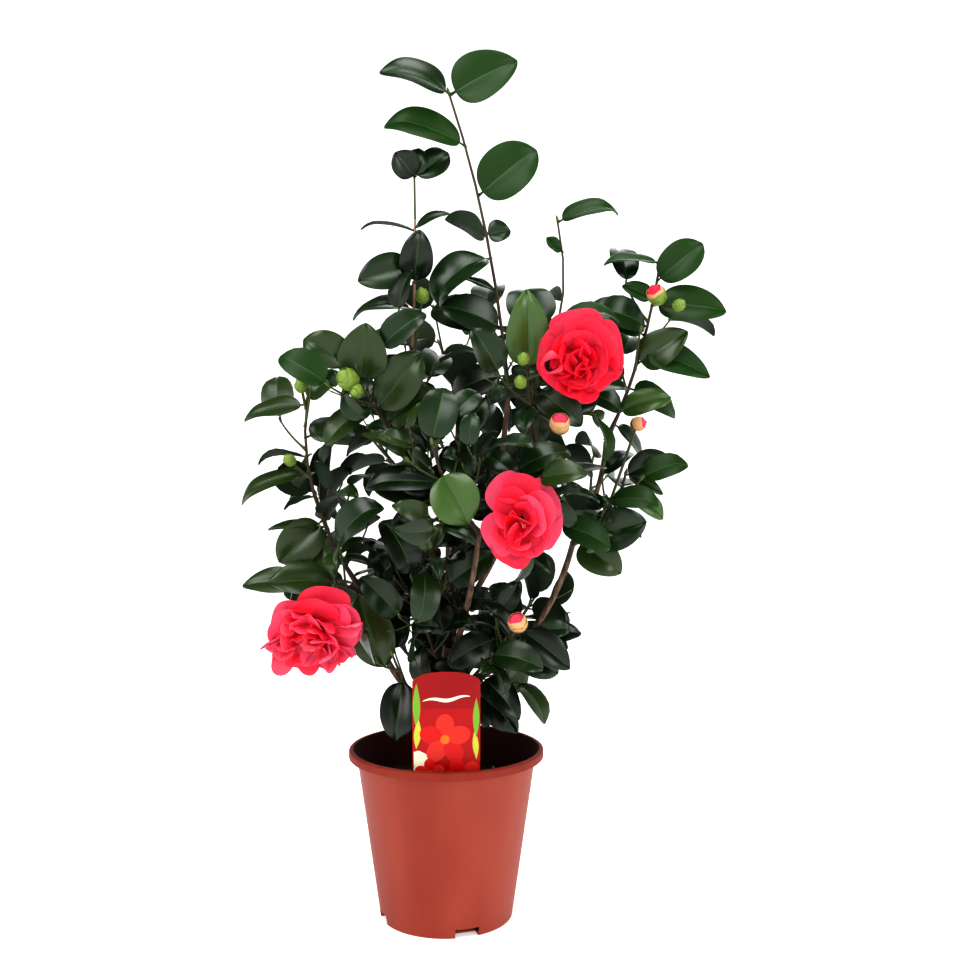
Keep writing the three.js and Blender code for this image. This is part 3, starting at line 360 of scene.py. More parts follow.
# A leaf's blade from its stalk to its tip: how full its outline is, how round towards the stalk and the
# tip, how far its widest place lies towards the stalk, the half widths of the stalk, the narrowest blade
# and the midrib. Its edge waves, each side in its own time, and its end curls under.
BLADE = SimpleNamespace(stalk=0.09, full=2.1, base=1.8, tip=1.4, forward=0.86, stalk_widths=(0.06, 0.045),
                        least=0.01, rib=0.05, waves=8, side_phase=2, curl_from=0.7)
# What each leaf draws: the height of its waves, and the shares of its curl, sweep and taper.
LEAF_DRAWS = dict(wave=(0.2, 1), phase=ALL_ROUND, sweep=(-0.05, 0.05), curl=(0, 1.4), taper=(-0.5, 0.3))

# Leaves that stand clear are modelled finer. A section is the corners round the blade: the share of the
# half width, and the height. The side veins lift the corners that lie higher than RIDGE.
LEAF_STEPS = 10
FINE_LEAF_STEPS = 24
LEAF_SECTION = [(1, 0), (0.5, 1.1), (0.035, 0.1), (-0.035, 0.1), (-0.5, 1.1), (-1, 0), (0, -0.45)]
FINE_LEAF_SECTION = [
    (1, 0), (0.8, 0.68), (0.5, 1.1), (0.2, 0.85), (0.03, 0.1), (-0.03, 0.1), (-0.2, 0.85), (-0.5, 1.1),
    (-0.8, 0.68), (-1, 0), (-0.5, 0.4), (0, -0.45), (0.5, 0.4),
]
VEIN_RELIEF = 0.18
RIDGE = 0.5

# How a leaf's tone is dealt: it is lighter further out and further up, and leaves of one shoot are alike.
# The darker tones inside and low down are painted shade, and the lighter ones out and up are partly fresh
# growth and partly painted light.
TONES = ["deep", "dark", "dark", "green", "green", "fresh"]
LIGHT = SimpleNamespace(outward=0.5, reach=(170, 130), upward=0.45, low=150, rise=450, shoot=0.3,
                        own=(-0.12, 0.22), olive_from=0.9)

# A budlet sits on each tip of a shoot, and over each leaf's foot: its half widths and height. The one at
# a tip is as wide as the shoot allows, and the one over a leaf rises off the shoot and leans up.
TIP_BUDLET = (1.5, 3.2)
AXIL_BUDLET = (0.8, 0.8, 1.8)
AXIL_RISE, AXIL_LEAN = 1.2, 0.4
TWIG_COLLAR, STALK_COLLAR = 0.6, 0.4  # how much wider their feet are, as shares of the radius
TAN_UP_TO = 0.86  # the share of the second leader's stem that shows tan wood
COLLAR_PART = 7  # a collar takes up this part of a limb's length: a seventh

# A petal, flat: the share that it is wide at its foot, at its widest and at its rim, where it is widest,
# and how round its rim is. A bud's scales are the same, and made of fewer rows and columns.
PETAL = SimpleNamespace(foot=0.12, half=0.5, least=0.12, widest=0.6, round=2.4, thick=0.4)
PETAL_GRID = (12, 12)
SCALE_GRID = (5, 4)
RUFFLE = SimpleNamespace(across=7, along=6, fewer=2)  # waves over a petal, and how many fewer in a finer one

# Petals, as shares of the flower's radius: how many, how far from the axis and how high they start, their
# length and width, the angle at which they leave and end, in degrees up from the plane square to the axis,
# how far their sides curl in, and how far they ruffle. The guard petals stand in whorls.
Petals = namedtuple("Petals", "count foot high long wide start end curl ruffle tone is_rolled",
                    defaults=(None, False))
GUARDS = [
    Petals(5, 0.06, -0.28, 0.98, 1.3, 30, -24, 0.03, 0.03),
    Petals(6, 0.06, -0.2, 0.9, 1.15, 44, -8, 0.06, 0.035),
    Petals(5, 0.08, -0.12, 0.76, 0.96, 54, 10, 0.14, 0.05),
]
GUARD_SHIFT = 0.2  # how far each whorl follows the heart off the middle
NOTCH_HALF_DEG = 32  # no guard petal's middle lies nearer to a notch in the rim
# The heart is a clump of crumpled petals: one in its middle, and one at its edge.
INNER = Petals(1, 0.04, 0.02, 0.36, 0.5, 84, 70, 0.6, 0.09)
OUTER = Petals(1, 0.06, -0.08, 0.52, 0.66, 58, 14, 0.36, 0.07)
HEART_SWING = (-50, 50)  # how far each crumpled petal is turned, in degrees
HEART_EDGE = 0.5  # how far out the clump's edge counts for its tone: 0 is the middle, 1 the rim
# Petals that stand alone: one that has rolled up lengthwise, a narrow one that hangs out of the rim, a
# broad one that fills it, and a small pale one in the heart.
SINGLE = {
    "rolled": Petals(1, 0.44, 0.24, 0.56, 0.54, 4, 26, 0.9, 0.02, is_rolled=True),
    "ragged": Petals(1, 0.25, 0, 0.82, 0.34, 26, -14, 0.2, 0.1),
    "lobe": Petals(1, 0.1, -0.2, 1.02, 1.0, 32, -6, 0.08, 0.04),
    "tuft": Petals(1, 0.04, 0.02, 0.34, 0.12, 70, 50, 0.3, 0.04, tone="petal_pale"),
}
# The hollow of a rolled petal is painted shade: its middle faces take a near-black red where shade would
# fall.
HOLLOW_SHADE = SimpleNamespace(half=0.22, start=0.3, end=0.76)  # the dark inside of a rolled petal
# How each petal differs from its kind: shares of its measures and of its place in the whorl, and degrees.
PETAL_DRAWS = dict(long=(0.92, 1.03), wide=(0.85, 1.15), start=(-8, 8), end=(-16, 16), curl=(0.5, 1.6),
                   ruffle=(0.5, 1.2), turn=(-0.2, 0.2), tone=(-0.7, 0.7))
# Petals further in take the deeper reds, as painted shade in the heart. The guard petals at the rim keep the
# pinker tones.
PETAL_TONES = ["petal_deep", "petal_red", "petal_coral", "petal_pink"]
RIM_TONE = 1.6  # the tone of a petal at the rim, counted along PETAL_TONES

# A scale hugs its bud: how far up from the pole it starts, how thin it is against a petal, and how tall the
# bud is and how far it is drawn to a point. The egg is the bud's body, drawn to a point in the same way.
SCALE = SimpleNamespace(start=0.06, thin=0.6, tall=1.2, point=0.12, point_power=6)
EGG = SimpleNamespace(tip=0.98, tip_rise=0.16, shoulder=0.6, shoulder_width=0.86)
BUD = SimpleNamespace(body=0.88, tall=1.16, seed_step=7, reach=(0.92, 1.06),
                      tones=dict(red="petal_coral", cream="petal_pink", green="scale_green"))
# A bud's scales: how many, how far round each lies in radians, how far up the bud it reaches, as a share of
# half a turn from foot to tip, how proud it stands, and its finish for each look.
SCALES = [
    (5, 2.3, 0.66, 1.04, dict(red="scale_cream", cream="scale_cream", green="scale_green")),
    (4, 2.6, 0.5, 1.09, dict(red="scale_green", cream="scale_cream", green="scale_green")),
    (3, 2.6, 0.3, 1.14, dict(red="scale_green", cream="scale_brown", green="scale_green")),
]
# The calyx behind a flower is made of such scales too.
CALYX = SimpleNamespace(count=6, step=1.05, spread=2.4, reach=0.5, r=0.24, proud=(1, 1.05), behind=0.22)

# The camera, in metres. fill is the plant's share of the picture's height.
CAMERA = SimpleNamespace(at=(0, -0.93, 0.37), aim_x=0.026, fill=0.9)
# Studio lights, in metres and watts: name, place, size and power. They aim at the plant's middle.
LAMPS = [
    ("key", (-1.0, -1.3, 1.9), 1.3, 23),
    ("top", (0.1, -0.3, 2.2), 0.9, 12),
    ("fill", (1.4, -1.1, 1.2), 0.8, 8),
    ("back", (0.4, 1.5, 1.7), 1.3, 11),
]
LAMP_AIM = (0, 0, 0.35)
FLOOR_RADIUS = 2.2
FLOOR_GLOW = 0.35
# The studio's walls glow most low down: where the glow starts to fade and ends, and its strengths there.
WALL_GLOW = {"From Min": 0.22, "From Max": 0.55, "To Min": 1.0, "To Max": 0.12}


def lerp(pair, share):
    return pair[0] + (pair[1] - pair[0]) * share


def draws_from(seed, modulus=2147483647, factor=48271, scatter=7919, offset=12345):
    """A small seeded generator: the same seed always draws the same numbers, from 0 to 1."""
    state = (seed * scatter + offset) % modulus

    def draw():
        nonlocal state
        state = state * factor % modulus
        return state / modulus

    return draw


class Bowed:
    """The curve of a limb: it leaves from one point and bows on its way to the other."""

    def __init__(self, start, end, bow):
        self.start, self.end = Vector(start), Vector(end)
        self.middle = (self.start + self.end) / 2 + 2 * Vector(bow)

    def at(self, share):
        rest = 1 - share
        return rest * rest * self.start + 2 * rest * share * self.middle + share * share * self.end

    def tangent(self, share):
        return ((1 - share) * (self.middle - self.start) + share * (self.end - self.middle)).normalized()

    def length(self, steps=200):
        points = [self.at(i / steps) for i in range(steps + 1)]
        return sum((b - a).length for a, b in zip(points, points[1:]))


def turned(vector, axis, degrees):
    return Quaternion(axis, math.radians(degrees)) @ vector


def square_to(axis, wanted):
    """A direction square to an axis, as near as can be to the one that is wanted."""
    return (wanted - axis * axis.dot(wanted)).normalized()


# Growth


def leaf_of(point, heading, upper, long, slim, arch, fold):
    return SimpleNamespace(point=point, heading=heading, upper=upper, long=long, slim=slim, arch=arch,
                           fold=fold, wave=0, phase=0, sweep=0, curl=0, taper=0, tone=None, is_placed=False)


def grown_leaf(point, tangent, look, rank, length, is_last, draw):
    """A leaf that grows by the rule, to one side of its shoot. A seeded draw gives what differs."""
    swing = (draw() * 2 - 1) * LEAF.swing
    rise = math.radians(LEAF.tip_rise if is_last else lerp(LEAF.rise, draw()))
    roll = (draw() * 2 - 1) * LEAF.roll
    arch = math.radians(lerp(LEAF.arch, draw()))
    fold = lerp(LEAF.fold, draw())
    long = length * lerp(LEAF.length, draw())
    slim = lerp(LEAF.slim, draw())
    out = turned(square_to(tangent, look), tangent, rank + swing)
    heading = math.cos(rise) * tangent + math.sin(rise) * out
    heading.z -= lerp(LEAF.sag, draw())
    heading.normalize()
    upper = turned(square_to(heading, look + LEAF.along * tangent), heading, roll)
    return leaf_of(point, heading, upper, long, slim, arch, fold)


def placed_leaf(stem, row):
    """A leaf that stands clear of the crown, set by where its tip lies from its foot."""
    up_stem, lean, fore, span, facing, arch, slim, *tone = row
    lean, fore, facing, arch = (math.radians(angle) for angle in (lean, fore, facing, arch))
    level = math.cos(fore)
    chord = Vector((level * math.cos(lean), -math.sin(fore), level * math.sin(lean)))
    up = square_to(chord, Vector((0, -math.cos(facing), math.sin(facing))))
    half = arch / 2
    heading = math.cos(half) * chord + math.sin(half) * up
    upper = math.cos(half) * up - math.sin(half) * chord
    long = span * half / math.sin(half)
    leaf = leaf_of(stem.at(min(LEAF.last, up_stem)), heading, upper, long, slim, arch, LEAF.placed_fold)
    leaf.tone = tone[0] if tone else None
    leaf.is_placed = True
    return leaf


def leaf_places(leaf, points):
    """Bends flat leaf points (share along, share of the half width, millimetres up) to where a leaf is."""
    share, side, thick = np.asarray(points, float).T
    half_width = leaf.long * leaf.slim / 2
    angle = leaf.arch * share
    lift = np.abs(side) * half_width * leaf.fold + thick
    phase = leaf.phase + BLADE.side_phase * np.sign(side)
    lift += leaf.wave * side ** 2 * np.sin(share * BLADE.waves + phase)
    lift -= leaf.curl * leaf.long * np.clip(share - BLADE.curl_from, 0, 1) ** 2
    forward = leaf.long * np.sin(angle) / leaf.arch + lift * np.sin(angle)
    height = -leaf.long * (1 - np.cos(angle)) / leaf.arch + lift * np.cos(angle)
    aside = side * half_width * (1 + leaf.taper * (share - 0.5)) + leaf.sweep * leaf.long * share ** 2
    across = leaf.heading.cross(leaf.upper)
    return (
        np.array(leaf.point)
        + np.outer(forward, leaf.heading)
        + np.outer(height, leaf.upper)
        + np.outer(aside, across)
    )


def tip_of(leaf):
    return leaf_places(leaf, [(1, 0, 0)])[0]


def side_twig(shoot, share, look, turn_deg, length):
    """The curve of a side twig, which leaves its shoot at an angle and turns up to the light."""
    start, tangent = shoot.at(share), shoot.tangent(share)
    out = turned(square_to(tangent, look), tangent, turn_deg)
    angle = math.radians(TWIG.angle_deg)
    heading = math.cos(angle) * tangent + math.sin(angle) * out
    heading.z += TWIG.lift
    return Bowed(start, start + heading.normalized() * length, out * length * TWIG.bow)


def shoots_of(name, mass, stem):
    """The shoots of a mass: its stem, and side twigs that leave it by the golden angle."""
    draw = draws_from(mass["seed"])
    seed = mass["seed"] * MASS_SEEDS
    shoots = [SimpleNamespace(curve=stem, r=mass["r"], bare=mass["bare"], spacing=mass["spacing"],
                              gap=mass.get("gap"), seed=seed, mass=name, is_stem=True)]
    for i in range(mass["twigs"]):
        share = lerp(mass["reach"], (i + 0.5) / mass["twigs"])
        length = mass["twig"] * (1 - TWIG.shorten * share) * lerp(TWIG.length, draw())
        curve = side_twig(stem, share, Vector(mass["look"]), mass["aim"] + i * GOLDEN_DEG, length)
        shoots.append(SimpleNamespace(curve=curve, r=TWIG.r, bare=TWIG.bare, spacing=TWIG.spacing, gap=None,
                                      seed=seed + (i + 1) * TWIG_SEEDS, mass=name, is_stem=False))
    return shoots


def nodes_along(shoot):
    """The places of a shoot's leaves from its tip down: their order, and how far along it they are."""
    length = shoot.curve.length()
    k = 0
    while 1 - k * shoot.spacing / length > shoot.bare:
        share = min(LEAF.last, 1 - k * shoot.spacing / length)
        if not (shoot.gap and shoot.gap[0] < share < shoot.gap[1]):
            yield k, share
        k += 1


def search_tree(node):
    """A search tree of a solid's corners, in millimetres."""
    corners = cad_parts[node].data.vertices
    tree = KDTree(len(corners))
    for i, corner in enumerate(corners):
        tree.insert(corner.co / MM, i)
    tree.balance()
    return tree


def is_held(tree, point, within):
    """Whether a solid has a corner this near to a point."""
    return tree.find(point)[2] < within


def is_in_crown(points):
    low, high = points.min(0), points.max(0)
    z = (low[2] + high[2]) / 2
    if low[2] < CROWN[0][0] or high[2] > CROWN[-1][0]:
        return False
    heights = [level[0] for level in CROWN]
    left, right, deep = (np.interp(z, heights, [level[i] for level in CROWN]) for i in (1, 2, 3))
    return low[0] > left and high[0] < right and low[1] > -deep and high[1] < deep


def is_dense(points):
    """Whether finer growth may stand here: in the crown, and below where its shoots stand apart."""
    return is_in_crown(points) and points[:, 2].max() < FINER.top and abs(points[:, 0]).max() < FINER.side


def is_open_ahead(points):
    """Whether growth leaves the label, the flowers, the buds and the gaps of sky free from the front."""
    x, y, z = points.T
    for end in FLOWERS + BUDS:
        side = math.copysign(1, end["face"][1])
        beside = np.hypot(x - end["at"][0], z - end["at"][2]) < end["r"] * FREE_BESIDE
        if (beside & ((y - end["at"][1]) * side > -end["r"] * FREE_BEHIND)).any():
            return False
    beside, above, behind = LABEL_MARGIN
    if ((abs(x) < LABEL.width / 2 + beside) & (z < LABEL.top + above) & (y < LABEL.y + behind)).any():
        return False
    return not any(((x > a) & (x < b) & (z > c) & (z < d)).any() for a, b, c, d in SKY)


class Taken:
    """The space that has been grown into, which further growth keeps clear of."""

    def __init__(self):
        self.low, self.high, self.trees = [], [], []

    def add(self, points, faces):
        self.low.append(points.min(0))
        self.high.append(points.max(0))
        self.trees.append(BVHTree.FromPolygons(points.tolist(), faces))
        return len(self.trees) - 1

    def meets(self, points, faces, but):
        """Whether a shape touches what stands already, apart from the one that it grows from."""
        low, high = points.min(0), points.max(0)
        near = ((np.array(self.low) < high) & (np.array(self.high) > low)).all(axis=1)
        tree = BVHTree.FromPolygons(points.tolist(), faces)
        return any(i != but and tree.overlap(self.trees[i]) for i in np.flatnonzero(near))


# Modelling


def pick(obj):
    """Makes an object the active one, with nothing else selected."""
    bpy.ops.object.select_all(action="DESELECT")
    obj.select_set(True)
    bpy.context.view_layer.objects.active = obj


@contextmanager
def editing(obj, mode="VERT"):
    """Edit mode on one object, with all of it selected."""
    pick(obj)
    bpy.ops.object.mode_set(mode="EDIT")
    bpy.ops.mesh.select_mode(type=mode)
    bpy.ops.mesh.select_all(action="SELECT")
    yield
    bpy.ops.object.mode_set(mode="OBJECT")


def choose(obj, kind, test):
    """Selects the verts, edges or faces that pass the test, and nothing else."""
    bpy.ops.mesh.select_all(action="DESELECT")
    shape = bmesh.from_edit_mesh(obj.data)
    for part in getattr(shape, kind):
        if test(part):
            part.select_set(True)
    shape.select_flush_mode()
    bmesh.update_edit_mesh(obj.data)


def added(operator, **settings):
    """Adds a primitive with everything else deselected, and gives its object."""
    bpy.ops.object.select_all(action="DESELECT")
    operator(**settings)
    return bpy.context.object


def extrude_by(x, y, z):
    bpy.ops.mesh.extrude_region_move(TRANSFORM_OT_translate={"value": (x, y, z)})


def turn_faces_out():
    bpy.ops.mesh.select_all(action="SELECT")
    bpy.ops.mesh.normals_make_consistent(inside=False)


def taken_apart(obj):
    """A modelled shape's corners and faces. Its object is removed."""
    points = np.array([tuple(v.co) for v in obj.data.vertices])
    faces = [tuple(face.vertices) for face in obj.data.polygons]
    bpy.data.objects.remove(obj)
    return points, faces


def leaf_stations(steps):
    """Where a leaf's sections lie: how far along it, and the share of the half width."""
    stations = [(0, BLADE.stalk_widths[0]), (BLADE.stalk, BLADE.stalk_widths[1])]
    for i in range(1, steps + 1):
        share = (1 - math.cos(math.pi * i / steps)) / 2
        across = 2 * share ** BLADE.forward - 1
        width = (1 - abs(across) ** BLADE.full) ** (1 / (BLADE.base if across < 0 else BLADE.tip))
        stations.append((lerp((BLADE.stalk, 1), share), max(BLADE.least, width)))
    return stations


def kinds_of_leaf_faces(points, faces):
    """What each of a leaf's faces belongs to. A blade face later takes the leaf's own tone."""
    kinds = []
    for face in faces:
        corners = points[list(face)]
        normal = np.cross(corners[1] - corners[0], corners[2] - corners[0])
        if corners[:, 0].mean() < BLADE.stalk:
            kinds.append("stalk")
        elif normal[2] < 0:
            kinds.append("under")
        elif np.abs(corners[:, 1]).max() < BLADE.rib:
            kinds.append("rib")
        else:
            kinds.append("blade")
    return kinds


def model_leaf(section, steps):
    """A flat leaf: its section is drawn once, then extruded and resized from station to station. The ridges
    of every other section are raised to side veins. Gives its corners, its faces and their kinds."""
    obj = added(bpy.ops.mesh.primitive_circle_add, vertices=len(section), fill_type="NGON")
    for corner, (side, thick) in zip(obj.data.vertices, section):
        corner.co = (0, side, thick)
    stations = leaf_stations(steps)
    with editing(obj):
        before, width = 0, 1
        for i, (share, half_width) in enumerate(stations):
            if i:
                extrude_by(share - before, 0, 0)
            bpy.ops.transform.resize(value=(1, half_width / width, 1), center_override=(share, 0, 0))
            before, width = share, half_width
        bpy.ops.mesh.merge(type="CENTER")
        for share, _ in stations[3:-2:2]:
            choose(obj, "verts", lambda v: abs(v.co.x - share) < NEAR and v.co.z > RIDGE)
            bpy.ops.transform.translate(value=(0, 0, VEIN_RELIEF))
        turn_faces_out()
    points, faces = taken_apart(obj)
    return points, faces, kinds_of_leaf_faces(points, faces)


def model_tube(sides, rings):
    """A unit tube that stands on the origin, with its length cut into rings."""
    obj = added(bpy.ops.mesh.primitive_cylinder_add, vertices=sides, radius=1, depth=1,
                end_fill_type="TRIFAN")
    with editing(obj, "EDGE"):
        choose(obj, "edges", lambda e: e.verts[0].co.z * e.verts[1].co.z < 0)
        bpy.ops.mesh.subdivide(number_cuts=rings - 1)
        bpy.ops.mesh.select_all(action="SELECT")
        bpy.ops.transform.translate(value=(0, 0, 0.5))
    return taken_apart(obj)


def petal_half_width(share):
    """A petal widens in a soft curve from its foot, and its rim is round and blunt."""
    if share < PETAL.widest:
        return lerp((PETAL.foot, PETAL.half), math.sin(math.pi / 2 * share / PETAL.widest))
    past = (share - PETAL.widest) / (1 - PETAL.widest)
    return PETAL.half * max(PETAL.least, (1 - past ** PETAL.round) ** (1 / PETAL.round))


def model_petal(rows, columns):
    """A flat petal, with its foot at the origin and its rim at 1 along Y. A row that is done waits one up,
    so that it isn't chosen again."""
    obj = added(bpy.ops.mesh.primitive_grid_add, x_subdivisions=columns, y_subdivisions=rows, size=1)
    with editing(obj):
        for i in range(rows + 1):
            y = i / rows - 0.5
            share = math.sin(math.pi / 2 * i / rows)
            choose(obj, "verts", lambda v: abs(v.co.y - y) < NEAR and v.co.z == 0)
            bpy.ops.transform.resize(value=(petal_half_width(share) * 2, 1, 1), center_override=(0, y, 0))
            bpy.ops.transform.translate(value=(0, share - y, 1))
        bpy.ops.mesh.select_all(action="SELECT")
        bpy.ops.transform.translate(value=(0, 0, -1))
    bpy.ops.object.modifier_add(type="SOLIDIFY")
    obj.modifiers[-1].thickness = PETAL.thick
    obj.modifiers[-1].offset = 0
    bpy.ops.object.modifier_apply(modifier=obj.modifiers[-1].name)
    return taken_apart(obj)


def model_egg(segments, rings):
    """A unit ball that is drawn to a point at its top."""
    obj = added(bpy.ops.mesh.primitive_uv_sphere_add, segments=segments, ring_count=rings, radius=1)
    with editing(obj):
        choose(obj, "verts", lambda v: v.co.z > EGG.tip)
        bpy.ops.transform.translate(value=(0, 0, EGG.tip_rise))
        choose(obj, "verts", lambda v: EGG.shoulder < v.co.z < EGG.tip)
        width = EGG.shoulder_width
        bpy.ops.transform.resize(value=(width, width, 1), center_override=(0, 0, 0))
    return taken_apart(obj)


def model_chip():
    """A block with bevelled edges."""
    obj = added(bpy.ops.mesh.primitive_cube_add, size=1)
    with editing(obj):
        bpy.ops.mesh.bevel(offset=CHIPS.bevel, segments=1)
    return taken_apart(obj)


def model_disc():
    """A unit disc, one high, whose top is cut into rings."""
    obj = added(bpy.ops.mesh.primitive_circle_add, vertices=MIX.sides, radius=1, fill_type="NGON")
    with editing(obj):
        extrude_by(0, 0, 1)
        for _ in range(MIX.rings):
            bpy.ops.mesh.inset(thickness=MIX.ring, depth=0)
    return taken_apart(obj)


def model_plate(outline, low, high):
    """A flat plate of some thickness, from its outline."""
    obj = added(bpy.ops.mesh.primitive_circle_add, vertices=len(outline), fill_type="NGON")
    for corner, (u, v) in zip(obj.data.vertices, outline):
        corner.co = (u, v, low)
    with editing(obj):
        extrude_by(0, 0, high - low)
        turn_faces_out()
    return taken_apart(obj)


def model_turned(profile, sides):
    """A turned solid: a disc at the profile's start, extruded and resized from point to point."""
    radius, z = profile[0]
    obj = added(bpy.ops.mesh.primitive_circle_add, vertices=sides, radius=radius * MM, fill_type="NGON",
                location=(0, 0, z * MM))
    bpy.ops.object.transform_apply(location=True)
    with editing(obj):
        for next_radius, next_z in profile[1:]:
            extrude_by(0, 0, (next_z - z) * MM)
            size = next_radius / radius
            bpy.ops.transform.resize(value=(size, size, 1), center_override=(0, 0, next_z * MM))
            radius, z = next_radius, next_z
        turn_faces_out()
    return obj


def tube_places(points, curve, radii, collar=0):
    """Moves a unit tube's rings onto a curve. The collar widens its foot by a share of its radius."""
    places = np.empty_like(points)
    for level in np.unique(np.round(points[:, 2], 5)).tolist():
        ring = np.abs(points[:, 2] - level) < NEAR
        radius = lerp(radii, level) * (1 + collar * max(0, 1 - level * COLLAR_PART) ** 2)
        turn = np.array(UP.rotation_difference(curve.tangent(level)).to_matrix())
        places[ring] = np.array(curve.at(level)) + radius * points[ring, :2] @ turn[:, :2].T
    return places


def petal_places(points, petal):
    """Bends the flat petal: it rises from the flower's foot, leans out, curls its sides in and ruffles."""
    side, along, thick = points.T
    start, end = math.radians(petal.start), math.radians(petal.end)
    angle = start + (end - start) * along
    bend = end - start
    out = petal.foot + petal.long * (np.sin(angle) - math.sin(start)) / bend
    high = petal.high + petal.long * (math.cos(start) - np.cos(angle)) / bend
    waves = sum(
        np.sin(side * k * RUFFLE.across + along * (RUFFLE.along - RUFFLE.fewer * k) + phase) / k
        for k, phase in enumerate(petal.phases, 1)
    )
    lift = petal.curl * petal.wide * (2 * side) ** 2 + petal.ruffle * along ** 2 * waves + thick
    out = out - np.sin(angle) * lift
    high = high + np.cos(angle) * lift
    across = side * petal.wide
    c, s = math.cos(petal.turn), math.sin(petal.turn)
    return np.column_stack([out * c - across * s, out * s + across * c, high])


def scale_places(points, turn, spread, reach, radius, proud):
    """Lays the flat petal on a bud as a scale: it starts at the bud's foot and hugs it."""
    side, along, thick = points.T
    polar = math.pi * (SCALE.start + reach * along)
    round_axis = turn + side * spread
    body = radius * proud + thick * SCALE.thin
    high = -SCALE.tall * np.cos(polar) * body * (1 + SCALE.point * (polar / math.pi) ** SCALE.point_power)
    out = np.sin(polar) * body
    return np.column_stack([out * np.cos(round_axis), out * np.sin(round_axis), high])


def stood(points, middle, axis):
    """Points about the Z axis, turned to an axis and moved to their middle."""
    turn = np.array(UP.rotation_difference(Vector(axis).normalized()).to_matrix())
    return points @ turn.T + np.array(middle)


class Heap:
    """Gathers many small copies into one mesh, in the plant's own frame."""

    def __init__(self, finishes):
        self.finishes = finishes
        self.points, self.faces, self.tones, self.count = [], [], [], 0

    def add(self, points, faces, tones):
        """tones is a finish's name for all faces, or one for each."""
        self.points.append(points)
        self.faces += [tuple(self.count + i for i in face) for face in faces]
        self.tones += [tones] * len(faces) if isinstance(tones, str) else tones
        self.count += len(points)

    def piece(self, name, replaced=(), sharp_deg=50):
        mesh = bpy.data.meshes.new(name)
        mesh.from_pydata((np.vstack(self.points) * MM).tolist(), [], self.faces)
        for finish in self.finishes.values():
            mesh.materials.append(finish)
        order = {tone: i for i, tone in enumerate(self.finishes)}
        mesh.polygons.foreach_set("material_index", [order[tone] for tone in self.tones])
        mesh.update()
        obj = bpy.data.objects.new(name, mesh)
        bpy.context.scene.collection.objects.link(obj)
        dressed(obj, replaced, sharp_deg)


def dressed(obj, replaced, sharp_deg=40):
    """Shades a finished piece, and hands it to the frame."""
    pick(obj)
    bpy.ops.object.shade_smooth_by_angle(angle=math.radians(sharp_deg))
    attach(obj, "root")
    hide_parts(*replaced)


# Finishes


def linear(code):
    """An sRGB hex colour as the linear values that a shader reads."""
    parts = [int(code[i : i + 2], 16) / 255 for i in (1, 3, 5)]
    return (*(c / 12.92 if c <= 0.04045 else ((c + 0.055) / 1.055) ** 2.4 for c in parts), 1)


def add_node(tree, kind, inputs=None, **settings):
    """Adds a node with its settings, and fills its inputs with values or links."""
    node = tree.nodes.new(kind)
    for key, value in settings.items():
        setattr(node, key, value)
    for key, value in (inputs or {}).items():
        if isinstance(value, bpy.types.NodeSocket):
            tree.links.new(value, node.inputs[key])
        else:
            node.inputs[key].default_value = value
    return node


def plain_finish(name, colour, roughness, specular=0.5, sockets=None):
    """A material of one plain colour. sockets holds what its shader's other sockets do."""
    material = bpy.data.materials.new(name)
    material.use_nodes = True
    values = {"Base Color": linear(colour), "Roughness": roughness, "Specular IOR Level": specular}
    for socket, value in (values | (sockets or {})).items():
        material.node_tree.nodes["Principled BSDF"].inputs[socket].default_value = value
    return material


def patterned_finish(name, colours, scale_mm, bump_mm, roughness, specular=0.5, stretch=(1, 1, 1),
                     detail=4):
    """A material whose colour and relief follow one noise. scale_mm is the size of its patches."""
    material = plain_finish(name, colours[0], roughness, specular)
    tree = material.node_tree
    shader = tree.nodes["Principled BSDF"]
    place = add_node(tree, "ShaderNodeTexCoord")
    laid = add_node(tree, "ShaderNodeMapping", {"Vector": place.outputs["Object"], "Scale": stretch})
    patches = add_node(tree, "ShaderNodeTexNoise",
                       {"Vector": laid.outputs["Vector"], "Scale": 1 / (scale_mm * MM), "Detail": detail})
    ramp = add_node(tree, "ShaderNodeValToRGB", {"Fac": patches.outputs["Fac"]})
    stops = ramp.color_ramp.elements
    stops[0].position, stops[1].position = PATCH_RANGE
    stops[0].color, stops[1].color = linear(colours[0]), linear(colours[-1])
    for i, colour in enumerate(colours[1:-1], 1):
        stops.new(lerp(PATCH_RANGE, i / (len(colours) - 1))).color = linear(colour)
    relief = add_node(tree, "ShaderNodeBump", {"Height": patches.outputs["Fac"], "Distance": bump_mm * MM})
    tree.links.new(ramp.outputs["Color"], shader.inputs["Base Color"])
    tree.links.new(relief.outputs["Normal"], shader.inputs["Normal"])
    return material


def finishes(rows):
    return {tone: plain_finish(*row) for tone, row in rows.items()}


PATCH_RANGE = (0.3, 0.7)  # the noise's values between which a pattern runs through its colours

